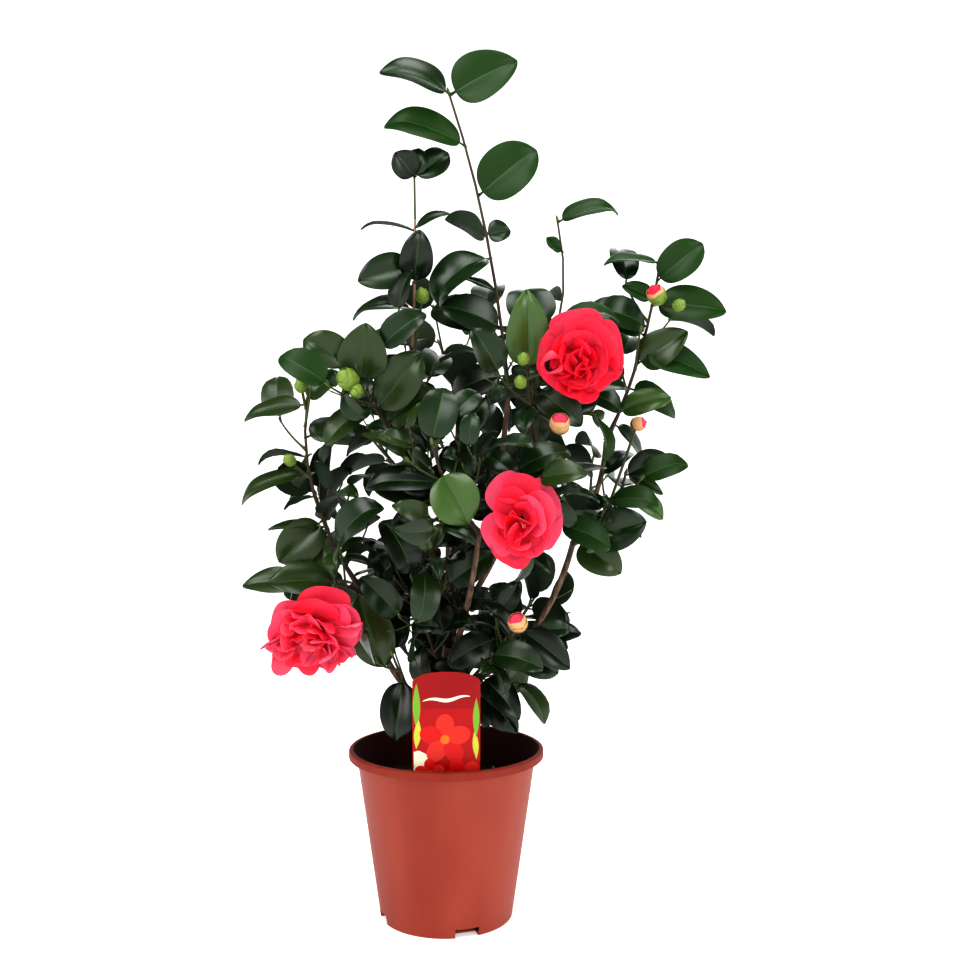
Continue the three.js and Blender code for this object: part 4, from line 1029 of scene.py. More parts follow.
# Each plain finish: its name, its colour, its roughness and how much it mirrors (0.5 is usual). Camellia
# leaves are leathery under a skin of wax, which lays grey-green streaks of light on the dark green. The
# fresh ones at the top turn to the light and are a purer, softer green, partly young growth and partly
# painted light, and the deep and dark ones within are painted shade. The light and olive tones given to some
# single leaves are a paler leaf and also a painted grey-green sheen. Beneath they are dull and grey.
LEAVES = {
    "deep": ("waxy_leaf_deep", "#0a1407", 0.31, 0.55),
    "dark": ("waxy_leaf_dark", "#0f1e0a", 0.31, 0.55),
    "green": ("waxy_leaf_green", "#183010", 0.31, 0.55),
    "fresh": ("waxy_leaf_fresh_and_painted_light", "#1f4010", 0.44, 0.32),
    # Olive is a tone that some shoots draw. Light is a paler leaf. Given to single leaves, both also paint a
    # grey-green sheen.
    "olive": ("waxy_leaf_olive_and_painted_sheen", "#2c4016", 0.31, 0.55),
    "light": ("waxy_leaf_pale_and_painted_sheen", "#45612b", 0.31, 0.55),
    "under": ("leaf_underside", "#2e3f29", 0.55, 0.3),
    "rib": ("leaf_midrib", "#3a5a2c", 0.45, 0.3),
    "stalk": ("leaf_stalk", "#3c4a26", 0.45, 0.3),
}
# Young wood: smooth and green on this year's shoots, dull brown where it has ripened, pale tan on one stem.
WOOD = {
    "young": ("green_twig", "#4a5030", 0.55),
    "ripe": ("ripened_twig", "#4a3a2e", 0.65),
    "tan": ("tan_twig", "#a8866a", 0.65),
    "budlet": ("shoot_bud", "#5c6a34", 0.5),
}
# Petals are thin wet tissue: light comes through, so that their folds glow instead of going black, and the
# red stays full in the shade. Bud scales are smooth and green, and go cream and brown as they are shed.
TISSUE = {"Subsurface Weight": 0.6, "Subsurface Radius": (0.005, 0.0015, 0.0015), "Subsurface Scale": 1.0}
BLOOM = {
    "petal_deep": ("petal_deep", "#dc1c34", 0.6, 0.2, TISSUE),
    "petal_red": ("petal_red", "#ee2640", 0.6, 0.2, TISSUE),
    "petal_coral": ("petal_coral", "#f33652", 0.6, 0.2, TISSUE),
    "petal_pink": ("petal_pink", "#f4506e", 0.6, 0.2, TISSUE),
    "petal_pale": ("petal_pale", "#f6a8aa", 0.6, 0.2, TISSUE),
    # Painted shade for the hollow of a rolled petal.
    "petal_hollow": ("shaded_petal_hollow", "#2a0d0a", 0.8),
    "scale_green": ("bud_scale_green", "#7c9440", 0.45),
    "scale_cream": ("bud_scale_cream", "#d2a878", 0.45),
    "scale_brown": ("bud_scale_brown", "#6a5a30", 0.5),
}
# Chips of bark and a few white grains in the mix: all dry and dull, so that only colour tells them apart.
CRUMBS = {
    "chip": ("bark_chip", "#3a2416", 0.9),
    "dark_chip": ("dark_bark_chip", "#1c110b", 0.9),
    "grain": ("white_grain", "#cfc8bc", 0.9),
}
# Varnished plastic card: flat bright inks under a light gloss, on a plain white back.
INKS = {
    "red": ("label_red", "#aa0e14", 0.36, 0.3),
    "band": ("label_dark_red", "#960c14", 0.36, 0.3),
    "petal": ("label_petal", "#c81a18", 0.36, 0.3),
    "pale_petal": ("label_pale_petal", "#d03426", 0.36, 0.3),
    "gold": ("label_gold", "#d07424", 0.36, 0.3),
    "green": ("label_green", "#7aa638", 0.36, 0.3),
    "yellow": ("label_yellow", "#c2c244", 0.36, 0.3),
    "cream": ("label_cream", "#efe6c8", 0.36, 0.3),
    "back": ("label_back", "#e9e6de", 0.4),
}


def linked(name, data, place):
    """Puts a lamp or a camera in the scene."""
    obj = bpy.data.objects.new(name, data)
    obj.location = place
    bpy.context.scene.collection.objects.link(obj)
    return obj


def aim(obj, target):
    obj.rotation_euler = (Vector(target) - obj.location).to_track_quat("-Z", "Y").to_euler()


def lay_floor():
    """A plain pale floor. Its own faint glow takes the grey off it, as on a studio's white sweep."""
    floor = added(bpy.ops.mesh.primitive_circle_add, vertices=64, radius=FLOOR_RADIUS, fill_type="NGON")
    floor.name = "floor"
    glow = {"Emission Strength": FLOOR_GLOW}
    floor.data.materials.append(plain_finish("pale_floor", "#fafaf9", 0.9, sockets=glow))


def light_studio():
    """Soft lamps around the plant, and white walls that glow low down."""
    for name, place, size, power in LAMPS:
        lamp = bpy.data.lights.new(name, "AREA")
        lamp.size, lamp.energy = size, power
        aim(linked(name, lamp, place), LAMP_AIM)
    world = bpy.data.worlds.new("studio")
    world.use_nodes = True
    tree = world.node_tree
    place = add_node(tree, "ShaderNodeTexCoord")
    height = add_node(tree, "ShaderNodeSeparateXYZ", {"Vector": place.outputs["Generated"]})
    glow = add_node(tree, "ShaderNodeMapRange", {"Value": height.outputs["Z"], **WALL_GLOW})
    walls = tree.nodes["Background"]
    walls.inputs["Color"].default_value = linear("#ffffff")
    tree.links.new(glow.outputs["Result"], walls.inputs["Strength"])
    bpy.context.scene.world = world
    bpy.context.scene.view_settings.view_transform = "Standard"
    bpy.context.scene.view_settings.look = "High Contrast"


def place_camera():
    """The camera, where the photograph's was. Its angle takes in the plant from its foot to its top."""
    eye = Vector(CAMERA.at)
    top, foot = (math.atan2(z - eye.z, -eye.y) for z in (cad_box[1].z, 0))
    camera = bpy.data.cameras.new("camera")
    camera.angle = 2 * math.atan(math.tan((top - foot) / 2) / CAMERA.fill)
    obj = linked("camera", camera, eye)
    aim(obj, (CAMERA.aim_x, 0, eye.z - eye.y * math.tan((top + foot) / 2)))
    bpy.context.scene.camera = obj


lay_floor()
light_studio()
place_camera()

# What repeats, modelled once
LEAF_SHAPE = model_leaf(LEAF_SECTION, LEAF_STEPS)
FINE_LEAF_SHAPE = model_leaf(FINE_LEAF_SECTION, FINE_LEAF_STEPS)
TUBE_POINTS, TUBE_FACES = model_tube(sides=6, rings=6)
STOUT_POINTS, STOUT_FACES = model_tube(sides=20, rings=28)
PETAL_POINTS, PETAL_FACES = model_petal(*PETAL_GRID)
SCALE_POINTS, SCALE_FACES = model_petal(*SCALE_GRID)
EGG_POINTS, EGG_FACES = model_egg(segments=12, rings=8)
BUDLET_POINTS, BUDLET_FACES = model_egg(segments=6, rings=5)
BLADE_CORNERS = LEAF_SHAPE[0][:, 0] > LEAF_FOOT
PETAL_MIDDLES = np.array([PETAL_POINTS[list(face)].mean(axis=0) for face in PETAL_FACES])
# The faces of a rolled petal that take the painted shade of its hollow.
IN_PAINTED_SHADE = (
    (abs(PETAL_MIDDLES[:, 0]) < HOLLOW_SHADE.half)
    & (HOLLOW_SHADE.start < PETAL_MIDDLES[:, 1])
    & (PETAL_MIDDLES[:, 1] < HOLLOW_SHADE.end)
)


def limb_curves():
    """The trunk's and the boughs' curves and end radii, in the order in which they branch off."""
    curves = {"trunk": Bowed(TRUNK["start"], TRUNK["end"], TRUNK["bow"])}
    for name, bough in BOUGHS.items():
        foot = curves[bough["of"]].at(1) if "of" in bough else curves["trunk"].at(bough["leaves"])
        curves[name] = Bowed(foot, bough["end"], bough["bow"])
    return {name: (curve, BOUGHS.get(name, TRUNK)["r"]) for name, curve in curves.items()}


class Plant:
    """All that has grown: limbs, stems, shoots and leaves, and the space that they take up."""

    def __init__(self):
        self.limbs = limb_curves()
        self.stems, self.shoots, self.leaves, self.gaps = {}, [], [], []
        self.taken = Taken()

    def grow_from_rule(self):
        """Every shoot and leaf that the solids hold, found again by the rule that they grew by."""
        for name, mass in MASSES.items():
            limb = self.limbs[mass["on"]][0]
            stem = Bowed(limb.at(mass.get("up", 1)), mass["to"], mass["bow"])
            self.stems[name] = stem
            tree = search_tree(f"foliage_{name}")
            own = shoots_of(name, mass, stem)
            own = own[:1] + [shoot for shoot in own[1:] if is_held(tree, shoot.curve.at(1), TWIG_MATCH)]
            for row in mass.get("placed", []):
                leaf = placed_leaf(stem, row)
                leaf.shoot = own[0]
                if is_held(tree, tip_of(leaf), LEAF_MATCH):
                    self.leaves.append(leaf)
            for shoot in own:
                for k, share in nodes_along(shoot):
                    self.find_leaf(tree, shoot, k, share)
            self.shoots += own

    def find_leaf(self, tree, shoot, k, share):
        """The leaf that the solids hold at a place of a shoot, or a gap where no try of the rule fits."""
        mass = MASSES[shoot.mass]
        point, tangent = shoot.curve.at(share), shoot.curve.tangent(share)
        for attempt in range(LEAF.tries):
            leaf = grown_leaf(point, tangent, Vector(mass["look"]), 90 + 180 * k, mass["leaf"], k == 0,
                              draws_from(shoot.seed + k * LEAF_SEEDS + attempt))
            if is_held(tree, tip_of(leaf), LEAF_MATCH):
                leaf.shoot = shoot
                self.leaves.append(leaf)
                return
        self.gaps.append((shoot, k, share))

    def take_up_space(self):
        """Enters all that the solids hold, so that finer growth keeps clear of it."""
        for curve, radii in self.limbs.values():
            self.taken.add(tube_places(TUBE_POINTS, curve, radii), TUBE_FACES)
        for shoot in self.shoots:
            shoot.id = self.taken.add(tube_places(TUBE_POINTS, shoot.curve, shoot.r), TUBE_FACES)
        for leaf in self.leaves:
            self.taken.add(leaf_places(leaf, LEAF_SHAPE[0]), LEAF_SHAPE[1])
        for end in FLOWERS + BUDS:
            ball = EGG_POINTS * end["r"] * (1, 1, FLOWER_DEPTH if end in FLOWERS else BUD_DEPTH)
            self.taken.add(stood(ball, end["at"], end["face"]), EGG_FACES)

    def add_leaf_at(self, shoot, k, share, seed):
        """Grows one more leaf where there is room for it, after some tries."""
        point, tangent = shoot.curve.at(share), shoot.curve.tangent(share)
        mass = MASSES[shoot.mass]
        for attempt in range(FINER.tries):
            draw = draws_from(seed + k * LEAF_SEEDS + attempt)
            length = mass["leaf"] * lerp(FINER.leaf, draw())
            look = Vector(mass["look"]) + FINER.scatter * Vector([draw() - 0.5 for _ in range(3)])
            leaf = grown_leaf(point, tangent, look, 90 + 180 * k, length, k == 0, draw)
            leaf.slim *= FINER.slim
            points, faces = leaf_places(leaf, LEAF_SHAPE[0]), LEAF_SHAPE[1]
            is_free = is_dense(points) and is_open_ahead(points[BLADE_CORNERS])
            if is_free and not self.taken.meets(points, faces, but=shoot.id):
                leaf.shoot = shoot
                self.leaves.append(leaf)
                self.taken.add(points, faces)
                return

    def grow_finer(self):
        """More leaves where the rule left gaps, and side twigs with small ones."""
        for shoot, k, share in self.gaps:
            self.add_leaf_at(shoot, k, share, shoot.seed + GAP_SEED)
        for shoot in list(self.shoots):
            if shoot.mass not in OPEN_MASSES:
                self.grow_side_twigs(shoot)

    def grow_side_twigs(self, shoot):
        mass = MASSES[shoot.mass]
        draw = draws_from(shoot.seed + SIDE_SEED)
        for i in range(FINER.stem_twigs if shoot.is_stem else FINER.twig_twigs):
            share = lerp(FINER.reach, draw())
            length = mass["twig"] * lerp(FINER.twig, draw()) * (1 if shoot.is_stem else FINER.second_twig)
            curve = side_twig(shoot.curve, share, Vector(mass["look"]), draw() * 360, length)
            places = tube_places(TUBE_POINTS, curve, FINER.r)
            is_free = is_dense(places) and is_open_ahead(places[int(len(places) * TWIG_FOOT) :])
            if not is_free or self.taken.meets(places, TUBE_FACES, but=shoot.id):
                continue
            seed = shoot.seed + FINER_SEED + i * TWIG_SEEDS
            finer = SimpleNamespace(curve=curve, r=FINER.r, bare=FINER.bare, spacing=FINER.spacing, gap=None,
                                    seed=seed, mass=shoot.mass, is_stem=False)
            finer.id = self.taken.add(places, TUBE_FACES)
            self.shoots.append(finer)
            for k, place in nodes_along(finer):
                self.add_leaf_at(finer, k, place, finer.seed)


def tone_for(leaf, deal):
    """Inner and low leaves are the darkest, as painted shade, and outer and upper ones the lightest, partly
    fresh growth and partly painted light. Those of one shoot are alike.
    """
    if leaf.tone:
        return leaf.tone
    x, y, z = leaf.point + leaf.heading * leaf.long / 2
    outward = math.hypot(x / LIGHT.reach[0], y / LIGHT.reach[1])
    own = draws_from(leaf.shoot.seed + TONE_SEED)()
    score = LIGHT.outward * outward + LIGHT.upward * (z - LIGHT.low) / LIGHT.rise + LIGHT.shoot * own
    score += deal.uniform(*LIGHT.own)
    if own > LIGHT.olive_from:
        return "olive"
    return TONES[min(len(TONES) - 1, max(0, int(score * len(TONES))))]


def make_leaves(plant):
    """All leaves, each with its own wave, curl and tone."""
    heap = Heap(finishes(LEAVES))
    deal = random.Random(LEAF_LOOKS_SEED)
    for leaf in plant.leaves:
        for key, ends in LEAF_DRAWS.items():
            setattr(leaf, key, deal.uniform(*ends))
        tone = tone_for(leaf, deal)
        points, faces, kinds = FINE_LEAF_SHAPE if leaf.is_placed else LEAF_SHAPE
        heap.add(leaf_places(leaf, points), faces, [tone if kind == "blade" else kind for kind in kinds])
    heap.piece("leaves", [f"foliage_{name}" for name in MASSES])


def make_twigs(plant):
    """All shoots and stalks, with a budlet at each shoot's tip and in each leaf's axil."""
    heap = Heap(finishes(WOOD))
    for shoot in plant.shoots:
        tones = "ripe" if shoot.is_stem else "young"
        if shoot.mass == "second_leader" and shoot.is_stem:
            heights = [TUBE_POINTS[list(face), 2].mean() for face in TUBE_FACES]
            tones = ["tan" if height < TAN_UP_TO else "young" for height in heights]
        heap.add(tube_places(TUBE_POINTS, shoot.curve, shoot.r, TWIG_COLLAR), TUBE_FACES, tones)
    for end in FLOWERS + BUDS:
        stop = Vector(end["at"]) - STALK.sunk * end["r"] * Vector(end["face"]).normalized()
        stalk = Bowed(plant.stems[end["mass"]].at(end["up"]), stop, STALK.bow)
        heap.add(tube_places(TUBE_POINTS, stalk, STALK.r, STALK_COLLAR), TUBE_FACES, "young")
    for shoot in plant.shoots:
        width, height = TIP_BUDLET
        tip = BUDLET_POINTS * (shoot.r[1] * width, shoot.r[1] * width, height)
        heap.add(stood(tip, shoot.curve.at(1), shoot.curve.tangent(1)), BUDLET_FACES, "budlet")
    for leaf in plant.leaves:
        axis = (leaf.heading + UP * AXIL_LEAN).normalized()
        points = stood(BUDLET_POINTS * AXIL_BUDLET, leaf.point + UP * AXIL_RISE, axis)
        heap.add(points, BUDLET_FACES, "budlet")
    heap.piece("twigs")


def grow_petals(heap, flower, kind, first_deg, deal, shift, share):
    """Petals of one kind round one middle, each a little unlike the next. shift is how far that middle lies
    off the flower's axis, and share is how far in they are, from 0 to 1."""

    def differs(key):
        return deal.uniform(*PETAL_DRAWS[key])

    radius = flower["r"]
    for i in range(kind.count):
        petal = SimpleNamespace(
            foot=kind.foot * radius, high=kind.high * radius, long=kind.long * radius * differs("long"),
            wide=kind.wide * radius * differs("wide"), start=kind.start + differs("start"),
            end=kind.end + differs("end"), curl=kind.curl * differs("curl"),
            ruffle=kind.ruffle * radius * flower["ruffled"] * differs("ruffle"),
            phases=[deal.uniform(*ALL_ROUND) for _ in range(2)],
            turn=math.radians(first_deg + (i + differs("turn")) * 360 / kind.count),
        )
        off_notch = (math.degrees(petal.turn) - flower.get("notch_deg", 0) + 180) % 360 - 180
        if "notch_deg" in flower and kind.count > 1 and abs(off_notch) < NOTCH_HALF_DEG:
            continue
        points = petal_places(PETAL_POINTS, petal)
        points[:, :2] += np.array(shift) * radius
        points *= (*flower["oval"], 1)
        # The further in a petal lies, the deeper its red: painted shade in the heart.
        place = round(RIM_TONE - share + flower["paler"] + differs("tone"))
        tone = kind.tone or PETAL_TONES[min(len(PETAL_TONES) - 1, max(0, place))]
        # A rolled petal's hollow takes painted shade.
        if kind.is_rolled:
            tone = ["petal_hollow" if is_painted_shade else tone for is_painted_shade in IN_PAINTED_SHADE]
        heap.add(stood(points, flower["at"], flower["face"]), PETAL_FACES, tone)


def grow_flower(heap, flower):
    """An open flower: guard petals round a crumpled heart, on a green calyx."""
    deal = random.Random(flower["seed"])
    radius = flower["r"]
    heart = np.array(flower["heart"])
    for i, kind in enumerate(GUARDS):
        kind = kind._replace(wide=kind.wide * flower["full"])
        first_deg = deal.uniform(0, 360)
        grow_petals(heap, flower, kind, first_deg, deal, heart * GUARD_SHIFT * i, GUARD_SHIFT * i)
    count, spread = flower["clump"]
    for i in range(count):
        share = math.sqrt((i + 0.5) / count)
        turn_deg = i * GOLDEN_DEG
        turn = math.radians(turn_deg)
        kind = Petals(1, *(lerp(pair, share) for pair in zip(INNER[1:-2], OUTER[1:-2])))
        shift = heart + np.array((math.cos(turn), math.sin(turn))) * spread * share
        grow_petals(heap, flower, kind, turn_deg + deal.uniform(*HEART_SWING), deal, shift,
                    1 - HEART_EDGE * share)
    for name, turns in flower["single"].items():
        for turn_deg in turns:
            shift = heart * (name == "tuft")
            grow_petals(heap, flower, SINGLE[name], turn_deg, deal, shift, 0)
    for i in range(CALYX.count):
        points = scale_places(SCALE_POINTS, i * CALYX.step, CALYX.spread, CALYX.reach, radius * CALYX.r,
                              CALYX.proud[i % 2])
        points = points - (0, 0, radius * CALYX.behind)
        heap.add(stood(points, flower["at"], flower["face"]), SCALE_FACES, "scale_green")


def grow_bud(heap, bud):
    """A bud: its body, and scales that overlap over it. Its draws go by its place."""
    deal = random.Random(int(bud["at"][0] * BUD.seed_step + bud["at"][2]))
    radius = bud["r"] * BUD.body
    body = EGG_POINTS * (radius, radius, radius * BUD.tall)
    heap.add(stood(body, bud["at"], bud["face"]), EGG_FACES, BUD.tones[bud["look"]])
    for count, spread, reach, proud, tones in SCALES:
        first = deal.uniform(*ALL_ROUND)
        for i in range(count):
            turn = first + i * 2 * math.pi / count
            own_reach = reach * deal.uniform(*BUD.reach)
            points = scale_places(SCALE_POINTS, turn, spread, own_reach, radius, proud)
            heap.add(stood(points, bud["at"], bud["face"]), SCALE_FACES, tones[bud["look"]])


def make_flowers():
    heap = Heap(finishes(BLOOM))
    for flower in FLOWERS:
        grow_flower(heap, flower)
    for bud in BUDS:
        grow_bud(heap, bud)
    heap.piece("flowers_and_buds", sharp_deg=60)


def make_limbs(plant):
    """Trunk and boughs. Young camellia bark is smooth and grey-brown with faint cracks along the limb, which
    gives a dull skin that is mottled every few millimetres."""
    bark = patterned_finish("young_bark", ["#3c2f26", "#6a5644", "#8a745e"], scale_mm=3, bump_mm=0.5,
                            roughness=0.8, stretch=(1, 1, 0.25))
    waves = Vector((BARK.across, BARK.across, BARK.along))
    for name, (curve, radii) in plant.limbs.items():
        is_trunk = name == "trunk"
        collar = BARK.trunk_collar if is_trunk else BARK.bough_collar
        points = tube_places(STOUT_POINTS, curve, radii, collar)
        knots = [1 + BARK.relief * noise.noise(Vector(point) * waves) for point in points]
        middles = np.array([curve.at(float(level)) for level in STOUT_POINTS[:, 2]])
        points = middles + (points - middles) * np.array(knots)[:, None]
        heap = Heap({"young_bark": bark})
        heap.add(points, STOUT_FACES, "young_bark")
        node = "trunk" if is_trunk else f"bough_{name}"
        heap.piece(f"{node}_bark", [node])


def arc(middle, radius, first_deg, last_deg, steps=4):
    """Points of a rounding, as (distance from the axis, height)."""
    angles = np.radians(np.linspace(first_deg, last_deg, steps + 1))
    return [(middle[0] + radius * math.cos(a), middle[1] + radius * math.sin(a)) for a in angles]


def outer_radius(z):
    """How far the pot's tapered side is from its axis."""
    return POT.base_radius + (POT.shoulder_radius - POT.base_radius) * z / (POT.height - POT.lip_height)


def pot_profile():
    """The pot's outline from its foot over its lip and down its inside to its floor."""
    lip, under = POT.lip_radius, POT.height - POT.lip_height
    foot, step, rim, inner = POT.foot_round, POT.step_round, POT.rim_round, POT.inner_rim_round
    inside_top = POT.height - 2 * POT.lip_height
    bend = POT.floor + POT.floor_round
    return (
        arc((POT.base_radius - foot, foot), foot, -90, -10)
        + [(POT.shoulder_radius - POT.lead_in, under - step - POT.lead_in)]
        + arc((POT.shoulder_radius + step, under - step), step, 180, 90, 3)
        + arc((lip - step, under + step), step, -90, 0, 3)
        + arc((lip - rim, POT.height - rim), rim, 0, 90)
        + arc((lip - 2 * rim, POT.height - inner), inner, 90, 180, 3)
        + [(outer_radius(inside_top) - POT.wall, inside_top), (outer_radius(bend) - POT.wall, bend)]
        + arc((outer_radius(POT.floor) - POT.wall - POT.floor_round, bend), POT.floor_round, 0, -90, 3)
    )


def cut_notch(pot, turn_deg):
    """Cuts one notch out of the pot's foot."""
    middle = -(NOTCH.inner + NOTCH.outer) / 2
    cutter = added(bpy.ops.mesh.primitive_cube_add, size=MM, location=(0, middle * MM, 0))
    cutter.scale = (NOTCH.width, NOTCH.outer - NOTCH.inner, NOTCH.height * 2)
    bpy.ops.object.transform_apply(location=True, scale=True)
    cutter.rotation_euler = (0, 0, math.radians(turn_deg))
    bpy.ops.object.transform_apply(rotation=True)
    pick(pot)
    bpy.ops.object.modifier_add(type="BOOLEAN")
    pot.modifiers[-1].object = cutter
    pot.modifiers[-1].operation = "DIFFERENCE"
    pot.modifiers[-1].solver = "EXACT"
    bpy.ops.object.modifier_apply(modifier=pot.modifiers[-1].name)
    bpy.data.objects.remove(cutter)


def pot_finish_for(face):
    """Which of the pot's finishes a face takes: 0 outside, 1 on the lip, 2 inside."""
    middle, margin = face.center / MM, POT_FACE.margin
    is_inward = face.normal.xy.dot(middle.xy) < POT_FACE.inward * middle.xy.length
    is_floor = face.normal.z > POT_FACE.upward and middle.z < POT.floor + POT.floor_round + margin
    if middle.z > POT.floor - margin and (is_inward or is_floor):
        return 2
    return int(middle.z > POT.height - POT.lip_height - margin)


def make_pot():
    """The nursery pot. Injection-moulded polypropylene is even and satin, with soft clouds in its colour.
    Handling leaves the lip duller and scuffed, and its darker colour is painted shade. The inside is darker
    still, partly damp staining and partly painted shade, and hardly shines."""
    pot = model_turned(pot_profile(), POT.sides)
    pot.name = "nursery_pot"
    for i in range(NOTCH.count):
        cut_notch(pot, NOTCH.first_deg + 360 / NOTCH.count * i)
    for finish in (
        patterned_finish("terracotta_plastic", ["#8c3525", "#943e2d", "#9e4836"], scale_mm=60, bump_mm=0.15,
                         roughness=0.5, specular=0.3, stretch=(1, 1, 0.4), detail=2),
        # The lip's darker colour is painted shade, mottled by scuffs.
        patterned_finish("scuffed_lip_painted_shade", ["#7c2a1e", "#8c3022", "#8a3a2c"], scale_mm=18, bump_mm=0.1,
                         roughness=0.6, specular=0.3),
        # The inside's near-black colour is painted shade, partly damp staining.
        plain_finish("damp_pot_inside_painted_shade", "#40180f", roughness=0.8, specular=0.2),
    ):
        pot.data.materials.append(finish)
    for face in pot.data.polygons:
        face.material_index = pot_finish_for(face)
    dressed(pot, ["pot"])


def make_mix():
    """Moist potting mix: peat and bark, which is near black and drinks the light, with a lumpy top. Bark
    chips and a few white grains lie on it."""
    edge = MIX.top - MIX.fall
    radius = outer_radius(edge) - POT.wall - MIX.gap

    def height_at(out):
        return edge + MIX.fall * min(1, MIX.slope * (1 - out))

    points, faces = model_disc()
    lumps = []
    for x, y, z in points:
        top = height_at(math.hypot(x, y))
        for height, waves, layer in MIX.lumps:
            top += height * noise.noise(Vector((x * waves, y * waves, layer)))
        lumps.append((x * radius, y * radius, top if z > 0.5 else edge - MIX.depth))
    soil = patterned_finish("moist_potting_mix", ["#0c0806", "#241a14", "#3a2a20"], scale_mm=2.5,
                            bump_mm=1.2, roughness=0.95)
    heap = Heap({"mix": soil, **finishes(CRUMBS)})
    heap.add(np.array(lumps), faces, "mix")
    chip_points, chip_faces = model_chip()
    deal = random.Random(MIX_SEED)
    for i in range(CHIPS.count):
        out, turn = radius * CHIPS.reach * math.sqrt(deal.random()), deal.uniform(*ALL_ROUND)
        height = height_at(out / radius) + deal.uniform(*CHIPS.rise)
        is_grain = i % CHIPS.per_grain == 0
        tone = "grain" if is_grain else deal.choice(["chip", "dark_chip", "dark_chip"])
        size = CHIPS.grain if is_grain else [deal.uniform(*ends) for ends in CHIPS.sizes]
        axis = Vector((deal.uniform(*CHIPS.tilt), deal.uniform(*CHIPS.tilt), 1))
        c, s = math.cos(turn * CHIPS.turns), math.sin(turn * CHIPS.turns)
        laid = chip_points * size @ np.array([[c, s, 0], [-s, c, 0], [0, 0, 1]])
        heap.add(stood(laid, (out * math.cos(turn), out * math.sin(turn), height), axis), chip_faces, tone)
    heap.piece("potting_mix_top", ["potting_mix"])


def label_places(points):
    """Moves points of the card (across, up from its stake's foot, out to the front) to where it stands."""
    lean = math.radians(LABEL.lean_deg)
    u, v, w = np.asarray(points, float).T
    y = LABEL.y - v * math.sin(lean) - w * math.cos(lean)
    z = LABEL.stake_bottom + v * math.cos(lean) - w * math.sin(lean)
    return np.column_stack([u, y, z])


def card_outline(inset, steps=12):
    """The card from its stake up, with an arched top."""
    half, stake = LABEL.width / 2 - inset, LABEL.stake_width / 2 - inset
    bottom = LABEL.bottom - LABEL.stake_bottom + inset
    top = LABEL.top - LABEL.stake_bottom - inset
    shoulder = LABEL.top - LABEL.arch_rise - LABEL.stake_bottom
    right = Bowed((half, shoulder, 0), (0, top, 0), (LABEL.arch_bow * half, (top - shoulder) / 4, 0))
    arch = [tuple(right.at(i / steps))[:2] for i in range(steps + 1)]
    lower = [(stake, inset), (stake, bottom), (half, bottom)]
    return [*lower, *arch, *((-u, v) for u, v in reversed([*lower, *arch[:-1]]))]


def leaf_outline(foot, tip, share, steps=7):
    """A drawn leaf's outline, pointed at both ends. share is its half width over its length."""
    foot, tip = Vector(foot), Vector(tip)
    across = Vector((foot.y - tip.y, tip.x - foot.x)) * share
    shares = [i / steps for i in range(steps + 1)]
    right = [foot + (tip - foot) * t + across * math.sin(math.pi * t) for t in shares]
    left = [foot + (tip - foot) * t - across * math.sin(math.pi * t) for t in shares[-2:0:-1]]
    return [tuple(point) for point in right + left]


def oval_outline(middle, along, across, turn_deg, steps=16):
    c, s = math.cos(math.radians(turn_deg)), math.sin(math.radians(turn_deg))
    return [
        (middle[0] + along * math.cos(a) * c - across * math.sin(a) * s,
         middle[1] + along * math.cos(a) * s + across * math.sin(a) * c)
        for a in (i * 2 * math.pi / steps for i in range(steps))
    ]


def stroke_outline(across, up, thick, wave=1.1, waves=9, blunt=0.25, steps=14):
    """A pen's stroke in a soft wave, thickest in its middle. across and up are from its start to its end."""
    shares = [i / steps for i in range(steps + 1)]
    spine = [(lerp(across, t), lerp(up, t) + wave * math.sin(t * waves)) for t in shares]
    sides = [thick * (blunt + math.sin(math.pi * t)) for t in shares]
    upper = [(u, v + side) for (u, v), side in zip(spine, sides)]
    return upper + [(u, v - side) for (u, v), side in reversed(list(zip(spine, sides)))]


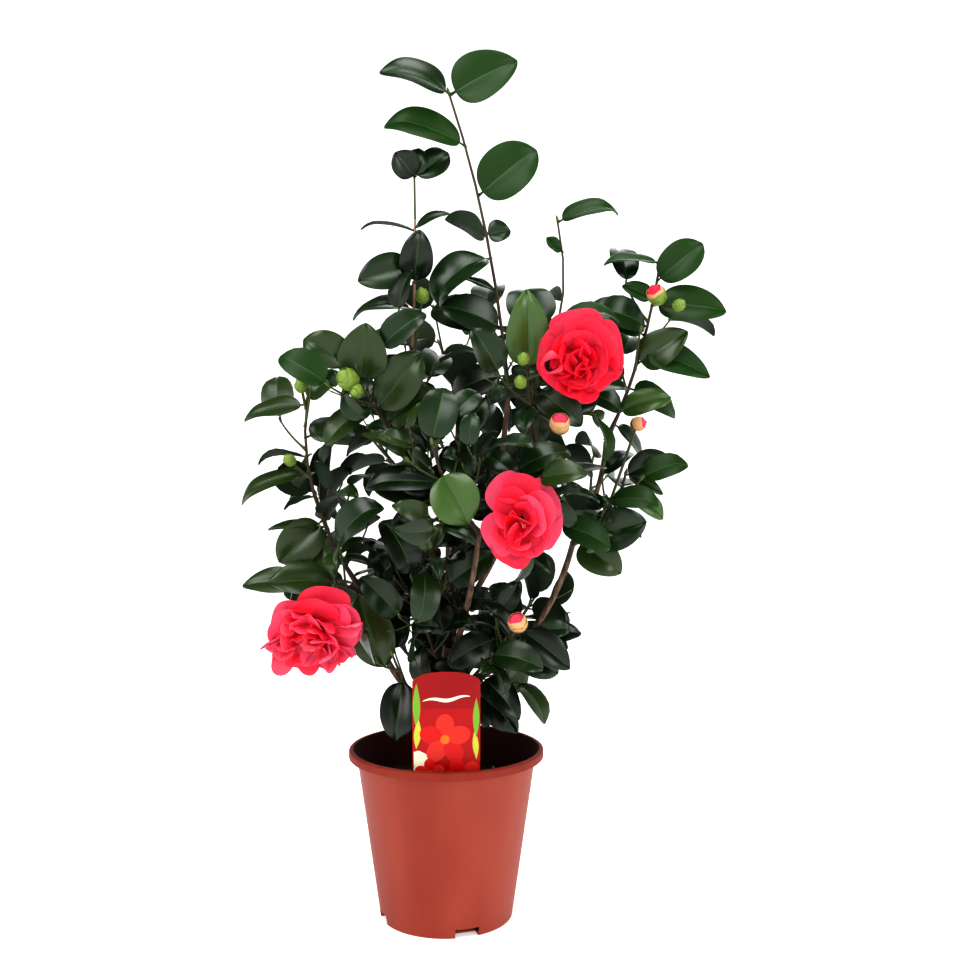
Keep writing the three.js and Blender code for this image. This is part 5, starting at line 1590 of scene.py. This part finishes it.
def blossom_drawn(middle, size, first_deg):
    """A drawn blossom: the outlines and tones of its five petals and its gold middle."""
    for i in range(BLOSSOM.petals):
        turn_deg = first_deg + 360 / BLOSSOM.petals * i
        turn = math.radians(turn_deg)
        out = Vector((math.cos(turn), math.sin(turn))) * size * BLOSSOM.spread
        place = (middle[0] + out.x, middle[1] + out.y)
        petal = oval_outline(place, size * BLOSSOM.long, size * BLOSSOM.wide, turn_deg)
        yield petal, "petal" if i % 2 else "pale_petal"
    yield oval_outline(middle, size * BLOSSOM.gold, size * BLOSSOM.gold, 0), "gold"


def make_label():
    """The care label: a glossy red card with drawn blossoms and leaves, and a plain stroke for its heading.
    Each ink lies a little higher than the last, so that no two share a plane."""
    heap = Heap(finishes(INKS))
    arch = [(u, v) for u, v in card_outline(0.5) if v > LABEL.band]
    drawn = [  # millimetres to either side of the card's middle, and up from its stake's foot
        ([(24, LABEL.band), *arch, (-24, LABEL.band)], "band"),
        (leaf_outline((-21.4, 84), (-21.6, 119), 0.08), "green"),
        (leaf_outline((-21.8, 70), (-20, 92), 0.12), "yellow"),
        (leaf_outline((21.8, 62), (20.4, 84), 0.1), "yellow"),
        (leaf_outline((21.4, 78), (21.6, 108), 0.08), "green"),
        ([(-23.6, 54), (-8, 54), (-9, 58), (-14, 66), (-20, 69), (-23.6, 68)], "cream"),
        (stroke_outline((-17, 17), (105.5, 108.5), 1.1), "cream"),
    ]
    for middle, size, first_deg in [((-1, 77), 17, 90), ((11, 49), 14, 40), ((-12, 52), 10, 20)]:
        drawn += blossom_drawn(middle, size, first_deg)
    half, ink = LABEL.thick / 2, LABEL.ink
    prints = [(card_outline(0), -half, half, "red"), (card_outline(LABEL.edge), -half - ink, -half, "back")]
    for i, (outline, tone) in enumerate(drawn):
        prints.append((outline, half - ink, half + ink * (1 + LABEL.ink_rise * i), tone))
    for outline, low, high, tone in prints:
        points, faces = model_plate(outline, low, high)
        heap.add(label_places(points), faces, tone)
    heap.piece("printed_label", ["care_label"], sharp_deg=30)


plant = Plant()
plant.grow_from_rule()
plant.take_up_space()
plant.grow_finer()
make_leaves(plant)
make_twigs(plant)
make_flowers()
make_limbs(plant)
make_label()
make_pot()
make_mix()
